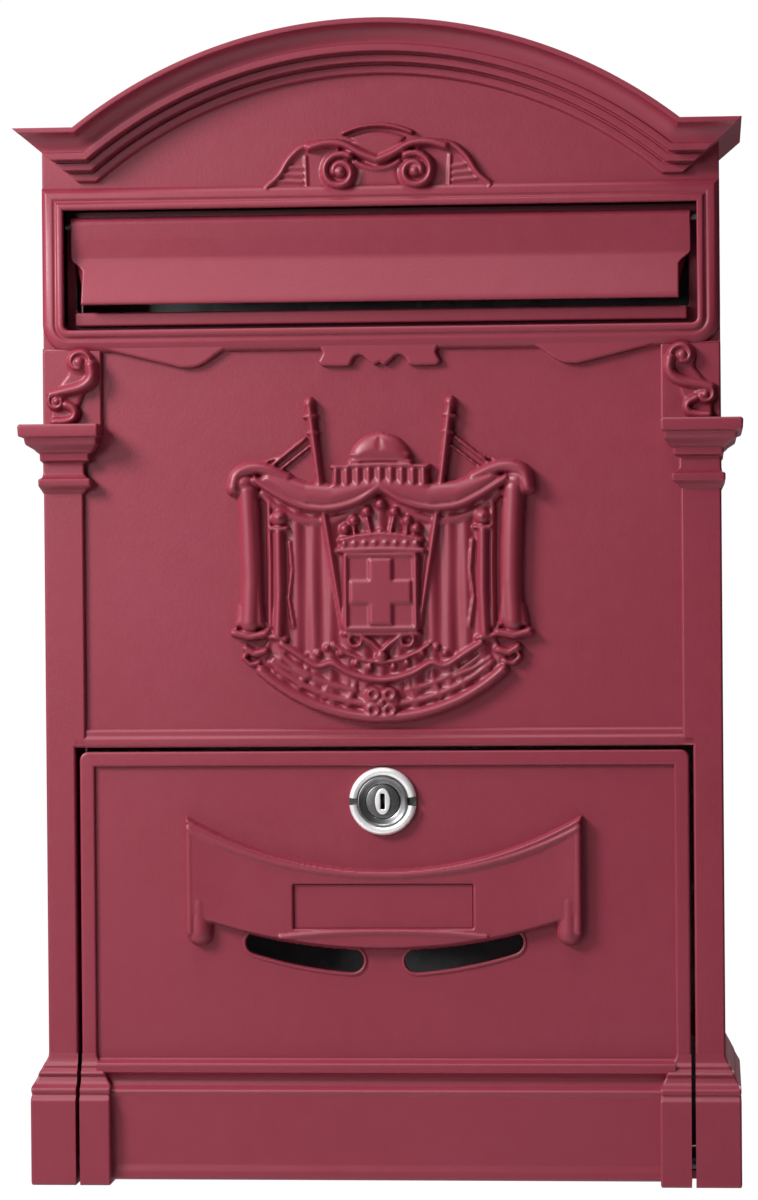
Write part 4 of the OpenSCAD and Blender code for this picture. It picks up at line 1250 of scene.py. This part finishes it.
class LETTERBOX_OT_flap(bpy.types.Operator):
    """The posting flap: a knuckle, a plate and a slanted lip"""

    bl_idname = "letterbox.flap"
    bl_label = "Posting flap"

    def execute(self, context):
        recess = sizes("box_recess")
        axis_d, axis_z = (FLAP_PIN.d0 + FLAP_PIN.d1) / 2, (FLAP_PIN.z0 + FLAP_PIN.z1) / 2
        radius, half = FLAP.z1 - axis_z, recess.flap_plate / 2
        back, front, foot = axis_d - half, axis_d + half, FLAP.z0
        top = foot + recess.lip
        knuckle = arc(axis_d, axis_z, radius, 0, 244, 16)
        lip = [
            (back, axis_z - 4), (back, top - 0.8), (FLAP.d1 - 2.4, foot + 0.2), (FLAP.d1 - 1.9, foot),
            (FLAP.d1 - 0.5, foot), (FLAP.d1, foot + 0.6), (FLAP.d1 - 0.2, foot + 1.6),
            (front + 0.5, top - 0.4),
            (front + 0.1, top + 0.6), (axis_d + radius - 0.5, axis_z - 5),
        ]
        outline = knuckle + closer(soften(lip, 0.6, 2), 0.8)
        side, draw = FLAP.x1, 4.4

        def width(z):
            """Half the flap's width: its lip is drawn in below the plate"""
            t = min(max((top + 1.4 - z) / 5.2, 0), 1)
            return side - draw * t * t * (3 - 2 * t)

        def station(sign, inset, shrink):
            def place(d, z):
                middle = axis_d if z > top else axis_d + (FLAP.d1 - 1.2 - axis_d) * (top - z) / recess.lip
                return sign * (width(z) - inset), middle + (d - middle) * shrink, z

            return place

        stops = [(0.0, 0.72), (0.18, 0.88), (0.6, 1.0)]
        stations = [station(-1, *s) for s in stops] + [station(1, *s) for s in reversed(stops)]
        piece("posting_flap", sweep(outline, stations), look="paint", body="flap", nodes=["mail_flap"],
              crease=35)
        return {"FINISHED"}


class LETTERBOX_OT_door(bpy.types.Operator):
    """The door: panel, flange, border, plinth and corner blocks"""

    bl_idname = "letterbox.door"
    bl_label = "Door"

    def execute(self, context):
        g, door, ribbon = layout(), sizes("box_door"), sizes("box_ribbon")
        self.leaf(g, door, ribbon)
        self.border(g, door)
        self.plinth(g, door)
        inner = DOOR.x1 - door.block
        swinging = corner_block(g, door, (inner, DOOR.x1 - door.border), (DOOR.x1, DOOR.x1), DOOR.d0)
        pair("door_block", swinging, **HUNG, crease=32)
        self.slot_rims(g, ribbon)
        return {"FINISHED"}

    @staticmethod
    def leaf(g, door, ribbon):
        lock_z = (LOCK_RING.z0 + LOCK_RING.z1) / 2
        barrel = (LOCK_BARREL.x1 - LOCK_BARREL.x0) / 2 - 4
        back = g.door_panel - door.panel
        outline = soften([(-DOOR.x1, 3), (DOOR.x1, 3), (DOOR.x1, DOOR.z1), (-DOOR.x1, DOOR.z1)], 3, 5,
                         closed=True)
        holes = [sight_slot(ribbon, 0, 1), sight_slot(ribbon, 0, -1), arc(0, lock_z, barrel, 0, 348.75, 31)]
        panel = plate(outline, back, g.door_panel, holes=holes, edge=0.3, segments=2)
        flange = sweep(
            soften([(0, DOOR.d0), (0, g.door_panel - 1), (door.panel, g.door_panel - 1),
                    (door.panel, DOOR.d0)],
                   0.5, closed=True),
            frame_path(DOOR.x1 - HAIR, 0.4, DOOR.z1 - HAIR, 3),
        )
        piece("door_panel", together(panel, flange), **HUNG)

    @staticmethod
    def border(g, door):
        top, low = g.door_panel + door.border_rise, g.door_panel - 1
        outline = soften(
            [(0, low), (0, top), (door.border, top), (door.border, low)], 0.9, 4, closed=True
        )
        path = frame_path(DOOR.x1 + HAIR, g.plinth_top - 3, DOOR.z1 + HAIR, 3)
        piece("door_border", sweep(outline, path), **HUNG)

    @staticmethod
    def plinth(g, door):
        """The middle of the plinth: a fillet, a hollow and the plain face, hollow behind"""
        out, foot = g.face + door.plinth_out, 1.4
        back = g.door_panel - door.panel
        face = [
            (back, 44.4), (g.door_panel - 0.2, 44.4), (g.door_panel + 0.4, 43.6), (g.face + 2.2, 42.7),
            (g.face + 2.5, 42.0), (g.face + 2.4, 39.4), (g.face + 0.9, 38.8), (g.face - 0.2, 37.4),
            (g.face - 0.2, 36.0), (g.face + 0.6, 34.6), (g.face + 1.8, 34.0), (out - 0.1, 33.4),
            (out + 0.3, 32.8),
            (out + 0.3, 32.2), (out - 0.1, 31.2), (out - 0.2, foot + 5.5), (out + 0.3, foot + 3.2),
            (out + 0.3, foot + 0.8), (out - 0.6, foot), (out - 2.6, foot), (out - 3, 29), (back, 36),
        ]
        x = DOOR.x1 - door.border - 0.2
        middle = sweep(soften(face, 0.5, 2, closed=True), [lambda d, z: (-x, d, z), lambda d, z: (x, d, z)])
        piece("door_plinth", middle, **HUNG, crease=32)

    @staticmethod
    def slot_rims(g, ribbon):
        """A thin raised rim round each sight slot"""
        rims = []
        for side in (1, -1):
            inner, outer = sight_slot(ribbon, -0.2, side), sight_slot(ribbon, 1.5, side)
            count = len(inner)

            def station(k, inner=inner, outer=outer, count=count):
                (ax, az), (bx, bz) = inner[k % count], outer[k % count]
                return lambda t, d: (ax + (bx - ax) * t, d, az + (bz - az) * t)

            outline = soften(
                [(0, g.door_panel - 2.8), (0, g.door_panel + 0.6), (0.7, g.door_panel + 0.6),
                 (1, g.door_panel - 2.8)],
                0.6, 3, closed=True,
            )
            rims.append(sweep(outline, [station(k) for k in range(count)], ring=True))
        piece("slot_rims", together(*rims), **HUNG)


def frame_path(half, low, top, radius):
    """Stations up one side of a frame, over the top and down the other; its first value runs inwards"""
    stations = [lambda t, d: (-half + t, d, low)]
    for x, first in ((-half + radius, 180), (half - radius, 90)):
        for angle in np.linspace(first, first - 90, 7):
            a = math.radians(angle)
            stations.append(
                lambda t, d, x=x, a=a: (
                    x + max(radius - t, 0) * math.cos(a) + inward(t, radius) * (1 if x < 0 else -1),
                    d,
                    top - radius + max(radius - t, 0) * math.sin(a) - inward(t, radius),
                )
            )
    stations.append(lambda t, d: (half - t, d, low))
    return stations


def inward(t, radius):
    """How far an inner corner lies past the centre of the outer one's curve"""
    return max(t - radius, 0)


def sight_slot(ribbon, grow, side):
    """The outline of a sight slot: a bar with round ends that follows an arc"""
    radius, half = ribbon.slot_radius, ribbon.slot_height / 2
    centre = ribbon.foot + 0.7 - 5.3 + radius
    near = math.degrees(math.asin((ribbon.slot_near + half) / radius)) - 90
    far = math.degrees(math.asin((ribbon.slot_far - half) / radius)) - 90
    reach = half + grow
    path = arc(0, centre, radius - reach, near, far, 12)
    end = arc(0, centre, radius, far, far, 1)[0]
    path += arc(*end, reach, far + 180, far, 8)[1:-1]
    path += arc(0, centre, radius + reach, far, near, 12)
    start = arc(0, centre, radius, near, near, 1)[0]
    path += arc(*start, reach, near, near - 180, 8)[1:-1]
    return [(side * x, z) for x, z in path]


class LETTERBOX_OT_ribbon(bpy.types.Operator):
    """The ribbon that holds the name plate"""

    bl_idname = "letterbox.ribbon"
    bl_label = "Name ribbon"

    def execute(self, context):
        g, ribbon = layout(), sizes("box_ribbon")
        low, high = ribbon.foot - 2, ribbon.top + 2
        relief = Relief(ribbon.width + 4, low, high, 0.4)
        x, z = np.abs(relief.x), relief.z
        half = ribbon.width / 2
        top_r = (half**2 + ribbon.sag**2) / (2 * ribbon.sag)
        top_centre = ribbon.top - ribbon.sag + top_r
        foot_half = half - 10.4
        foot_r = (foot_half**2 + ribbon.rise**2) / (2 * ribbon.rise)
        foot_centre = ribbon.foot + foot_r
        over = np.hypot(x, z - top_centre) - top_r  # how far a point lies below the upper edge
        under = foot_r - np.hypot(x, z - foot_centre)  # how far it lies above the lower edge
        middle = np.minimum(np.minimum(over, under), half - x)
        skin = np.sqrt(np.clip(1 - (1 - np.clip(middle / 1.3, 0, 1)) ** 2, 0, 1))
        bow = 0.7 * np.clip((x - 50) / 20, 0, 1) ** 2 - 0.5 * np.clip((x - 67) / 3.4, 0, 1) ** 2
        relief.lay(np.where(middle > 0, (ribbon.out + bow) * skin, relief.ground))
        self.beads(relief, ribbon, x, over, half)
        self.feet(relief, half, ribbon)
        self.pocket(relief, ribbon, x, z, under)
        relief.settle(1)
        piece("ribbon", relief.form(0, g.door_panel, 0), **HUNG, crease=180)
        return {"FINISHED"}

    @staticmethod
    def beads(relief, ribbon, x, over, half):
        """Two beads run side by side along the upper edge and part towards the ends"""
        apart = 0.9 + 1.5 * np.clip((x - 12) / 55, 0, 1)
        for centre, rise in ((1.0, 0.7), (1.0 + apart, 1.0)):
            q = np.hypot((over - centre) / 1.1, np.clip(x - half + 2.4, 0, 9) / 2.4)
            swell = ribbon.out + rise * np.sqrt(np.clip(1 - q * q, 0, 1))
            relief.lay(np.where((q < 1) & (over > 0.3), swell, relief.ground))

    @staticmethod
    def feet(relief, half, ribbon):
        """The rolled ends stand a little below the ribbon"""
        foot = ribbon.foot + 1.6
        relief.cord([(half - 4.8, foot + 4.4), (half - 4.8, foot + 15)], 9.6, ribbon.out + 0.6)
        relief.cord([(half - 1.7, ribbon.top - 4), (half - 1.7, foot + 5)], 3.2, 1.1, base=ribbon.out - 0.4)

    @staticmethod
    def pocket(relief, ribbon, x, z, under):
        """The sunk place for the name plate, with a sill that runs out to the lower edge"""
        plate = NAME_PLATE
        floor = plate.d1 - LOCK_RING.d0 - 1.2
        q = np.abs(z - (plate.z0 - 1.3) + 1.6 * (x / 32) ** 2) / 1.0
        line = ribbon.out + 0.9 * np.sqrt(np.clip(1 - q * q, 0, 1))
        relief.lay(np.where((q < 1) & (x < 37) & (under > 0.6), line, relief.ground))
        sunk = (x < plate.x1 + 0.35) & (z > plate.z0 - 0.3) & (z < plate.z1 + 0.3)
        relief.cut(sunk, floor)


class LETTERBOX_OT_lock(bpy.types.Operator):
    """The lock's bright ring, its barrel and the plug with its keyway"""

    bl_idname = "letterbox.lock"
    bl_label = "Lock"

    def execute(self, context):
        x, z = 0, (LOCK_RING.z0 + LOCK_RING.z1) / 2
        ring_r, barrel_r = LOCK_RING.x1, LOCK_BARREL.x1 - 4
        top, low = LOCK_RING.d1, LOCK_RING.d0
        profile = [(ring_r, low), (ring_r, top - 1.6), (ring_r - 0.5, top - 0.5), (ring_r - 1.4, top),
                   (ring_r - 2.4, top - 0.3), (barrel_r + 0.03, top - 1.2), (barrel_r + 0.03, low),
                   (ring_r, low)]
        rounded = soften(profile[:-1], 0.5, 3, closed=True)
        halves = [self.half_ring(rounded, x, z, *ends) for ends in ((8.5, 173.5), (186.5, 351.5))]
        # The ring takes the near-white chrome, a painted reflection.
        place = {"body": "door", "nodes": ["lock_ring"], "slot": "chrome", "flat": False}
        piece("lock_rim", together(*halves), look="chrome", crease=35, **place)
        seat = [(ring_r - 0.1, low - 1), (ring_r - 0.1, top - 2.0), (barrel_r + 0.05, top - 2.0),
                (barrel_r + 0.05, low - 1), (ring_r - 0.1, low - 1)]
        # The seat's dark steel shows in the ring's notches as painted shade.
        piece("lock_rim_seat", lathe(seat, x, z, steps=64), look="pin steel", **place)
        self.barrel(x, z, barrel_r)
        return {"FINISHED"}

    @staticmethod
    def half_ring(outline, x, z, start, end):
        """Part of a ring, so that a notch stays open at each side"""
        stations = []
        for turn in np.linspace(start, end, 45):
            a = math.radians(turn)
            stations.append(lambda r, d, a=a: (x + r * math.cos(a), d, z + r * math.sin(a)))
        return sweep(outline, stations)

    @staticmethod
    def barrel(x, z, barrel_r):
        """A dished face with the plug's oval boss standing in it"""
        front, plug_r, back = LOCK_BARREL.d1, LOCK_PLUG.x1, LOCK_RING.d0 - 6
        face = [(plug_r + 0.05, LOCK_BARREL.d0), (plug_r + 0.05, front - 1.2), (plug_r + 0.5, front - 0.7),
                (barrel_r - 1.0, front - 0.5), (barrel_r - 0.5, front), (barrel_r, front - 0.3),
                (barrel_r, back + 3), (LOCK_BARREL.x1, back + 3), (LOCK_BARREL.x1, back), (barrel_r, back),
                (barrel_r, LOCK_BARREL.d0)]
        rounded = soften(face, 0.3, 2, closed=True)
        piece("lock_face", lathe(rounded + rounded[:1], x, z, steps=64), look="lock steel", body="door",
              nodes=["lock_barrel"], slot="lock_steel", crease=30, flat=False)
        slot = soften([(-0.8, z - 2.8), (0.8, z - 2.8), (0.8, z + 2.8), (-0.8, z + 2.8)], 0.4, 3, closed=True)
        core = plate(arc(0, z, plug_r, 0, 354, 59), LOCK_PLUG.d0 + 2, LOCK_PLUG.d1 - 0.5, holes=[slot],
                     edge=0.4)
        boss = [(2.7 * math.cos(a), z + 4.6 * math.sin(a)) for a in np.linspace(0, 2 * math.pi, 41)[:-1]]
        boss = plate(boss, LOCK_PLUG.d1 - 1, LOCK_PLUG.d1 + 0.6, holes=[slot], edge=0.5, segments=4)
        tail = block(-2.5, 2.5, LOCK_PLUG.d0, LOCK_PLUG.d0 + 3, z - 2.5, z + 2.5, edge=0.2)
        turning = {"body": "lock_core", "nodes": ["lock_plug"], "slot": "lock_steel", "crease": 30,
                   "flat": False}
        piece("lock_core", together(core, tail), look="lock steel", **turning)
        # The keyway boss's near-white chrome is a painted reflection.
        piece("keyway_boss", boss, look="chrome", **turning)


class LETTERBOX_OT_plain_parts(bpy.types.Operator):
    """Gives the screws, pins, cam and back plate their metals, and the name plate its paint"""

    bl_idname = "letterbox.plain_parts"
    bl_label = "Plates, pins and screws"

    def execute(self, context):
        finishes = {
            "zinc sheet": ["back_plate"],
            "plated steel": ["back_plate_screws", "door_pin_clips", "lock_cam", "cam_washer", "cam_screw"],
            # The pins take the darkened steel, partly painted shade.
            "pin steel": ["flap_pin_left", "flap_pin_right", "door_pin_left", "door_pin_right"],
            "brass": ["lock_wafers"],
            "paint": ["name_plate"],
        }
        for look, names in finishes.items():
            for name in names:
                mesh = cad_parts[name].data
                mesh.materials.clear()
                mesh.materials.append(bpy.data.materials[FINISHED + look])
        return {"FINISHED"}


# ---- the stage ----

FLOOR_RADIUS, FLOOR_LEVEL = 1.5, -0.35  # metres
LIGHT_SEEN, LIGHT_GIVEN = 1.02, 0.03  # how bright the room looks, and how much light it gives
WARM_WHITE, WHITE = (1.0, 0.99, 0.98), (1, 1, 1)
LAMPS = (  # name, place from the middle of the box in metres, size, power in watts, colour
    ("key", (-0.66, -0.5, 0.47), 0.3, 11.6, WARM_WHITE),
    ("front", (-0.75, -1.3, 0.3), 0.6, 6.5, WARM_WHITE),
    ("top", (-0.15, -0.4, 1.3), 0.6, 8, WHITE),
    ("back", (0.7, 1.7, 0.9), 0.8, 30, WHITE),
)
LENS, DISTANCE, RISE = 121.0, 1.41, 0.015  # millimetres, then metres from the target
YAW, ROLL = math.radians(4.7), math.radians(-0.47)


class LETTERBOX_OT_stage(bpy.types.Operator):
    """Pale floor, soft studio light and the camera"""

    bl_idname = "letterbox.stage"
    bl_label = "Stage"

    def execute(self, context):
        self.floor()
        self.surroundings(context)
        middle = Vector((0, -HOUSING.d1 * MM / 2, HOUSING.z1 * MM / 2))
        for name, offset, size, power, colour in LAMPS:
            self.lamp(name, middle, offset, size, power, colour)
        self.camera(context)
        context.scene.view_settings.view_transform = "Standard"
        return {"FINISHED"}

    @staticmethod
    def floor():
        bm = bmesh.new()
        bmesh.ops.create_circle(bm, cap_ends=True, segments=96, radius=FLOOR_RADIUS)
        bmesh.ops.translate(bm, verts=bm.verts, vec=(0, 0, FLOOR_LEVEL))
        mesh = bpy.data.meshes.new("floor")
        bm.to_mesh(mesh)
        bm.free()
        floor = bpy.data.objects.new("floor", mesh)
        bpy.context.scene.collection.objects.link(floor)
        material = bpy.data.materials.new("floor")
        material.use_nodes = True
        shader = material.node_tree.nodes["Principled BSDF"]
        shader.inputs["Base Color"].default_value = (0.86, 0.86, 0.86, 1)
        shader.inputs["Roughness"].default_value = 0.8
        mesh.materials.append(material)

    @staticmethod
    def surroundings(context):
        """A white room: seen plainly, and giving a softer light than it shows"""
        world = bpy.data.worlds.new("studio")
        world.use_nodes = True
        tree = world.node_tree
        seen, given = tree.nodes["Background"], tree.nodes.new("ShaderNodeBackground")
        seen.inputs["Strength"].default_value = LIGHT_SEEN
        seen.inputs["Color"].default_value = (1, 1, 1, 1)
        given.inputs["Strength"].default_value = LIGHT_GIVEN
        given.inputs["Color"].default_value = (1, 1, 1, 1)
        rays, mix = tree.nodes.new("ShaderNodeLightPath"), tree.nodes.new("ShaderNodeMixShader")
        tree.links.new(rays.outputs["Is Camera Ray"], mix.inputs["Fac"])
        tree.links.new(given.outputs[0], mix.inputs[1])
        tree.links.new(seen.outputs[0], mix.inputs[2])
        tree.links.new(mix.outputs[0], tree.nodes["World Output"].inputs["Surface"])
        context.scene.world = world

    @staticmethod
    def lamp(name, target, offset, size, power, colour):
        light = bpy.data.lights.new(name, "AREA")
        light.shape, light.size, light.energy, light.color = "DISK", size, power, colour
        lamp = bpy.data.objects.new(name, light)
        lamp.location = target + Vector(offset)
        lamp.rotation_euler = (-Vector(offset)).to_track_quat("-Z", "Y").to_euler()
        lamp.visible_camera = False
        bpy.context.scene.collection.objects.link(lamp)

    @staticmethod
    def camera(context):
        """A long lens, level with the crest and a little to the right"""
        camera = bpy.data.cameras.new("camera")
        camera.lens = LENS
        view = bpy.data.objects.new("camera", camera)
        target = Vector((0.0004, -HOUSING.d1 * MM, 0.2065))
        view.location = target + Vector((math.sin(YAW) * DISTANCE, -math.cos(YAW) * DISTANCE, RISE))
        aim = (target - view.location).to_track_quat("-Z", "Y")
        view.rotation_euler = (aim @ Matrix.Rotation(ROLL, 4, "Z").to_quaternion()).to_euler()
        context.scene.collection.objects.link(view)
        context.scene.camera = view


STEPS = (
    LETTERBOX_OT_finishes,
    LETTERBOX_OT_shell,
    LETTERBOX_OT_cornice,
    LETTERBOX_OT_posting_frame,
    LETTERBOX_OT_pilasters,
    LETTERBOX_OT_ornament,
    LETTERBOX_OT_crest,
    LETTERBOX_OT_flap,
    LETTERBOX_OT_door,
    LETTERBOX_OT_ribbon,
    LETTERBOX_OT_lock,
    LETTERBOX_OT_plain_parts,
    LETTERBOX_OT_stage,
)


class LETTERBOX_PT_panel(bpy.types.Panel):
    """Sizes, colours and the steps that build the letter box"""

    bl_idname = "LETTERBOX_PT_panel"
    bl_label = "Letter box"
    bl_space_type = "VIEW_3D"
    bl_region_type = "UI"
    bl_category = "Letter box"

    def draw(self, context):
        for name, group in GROUPS.items():
            column = self.layout.column(align=True)
            column.label(text=group.__doc__)
            for value in group.__annotations__:
                column.prop(getattr(context.scene, name), value)
        for step in STEPS:
            self.layout.operator(step.bl_idname)


CLASSES = (*GROUPS.values(), *STEPS, LETTERBOX_PT_panel)


def register():
    for made in CLASSES:
        bpy.utils.register_class(made)
    for name, group in GROUPS.items():
        setattr(bpy.types.Scene, name, PointerProperty(type=group))


def unregister():
    for name in GROUPS:
        delattr(bpy.types.Scene, name)
    for made in reversed(CLASSES):
        bpy.utils.unregister_class(made)


def main():
    register()
    for step in STEPS:
        family, name = step.bl_idname.split(".")
        getattr(getattr(bpy.ops, family), name)()


if __name__ == "__main__":
    main()
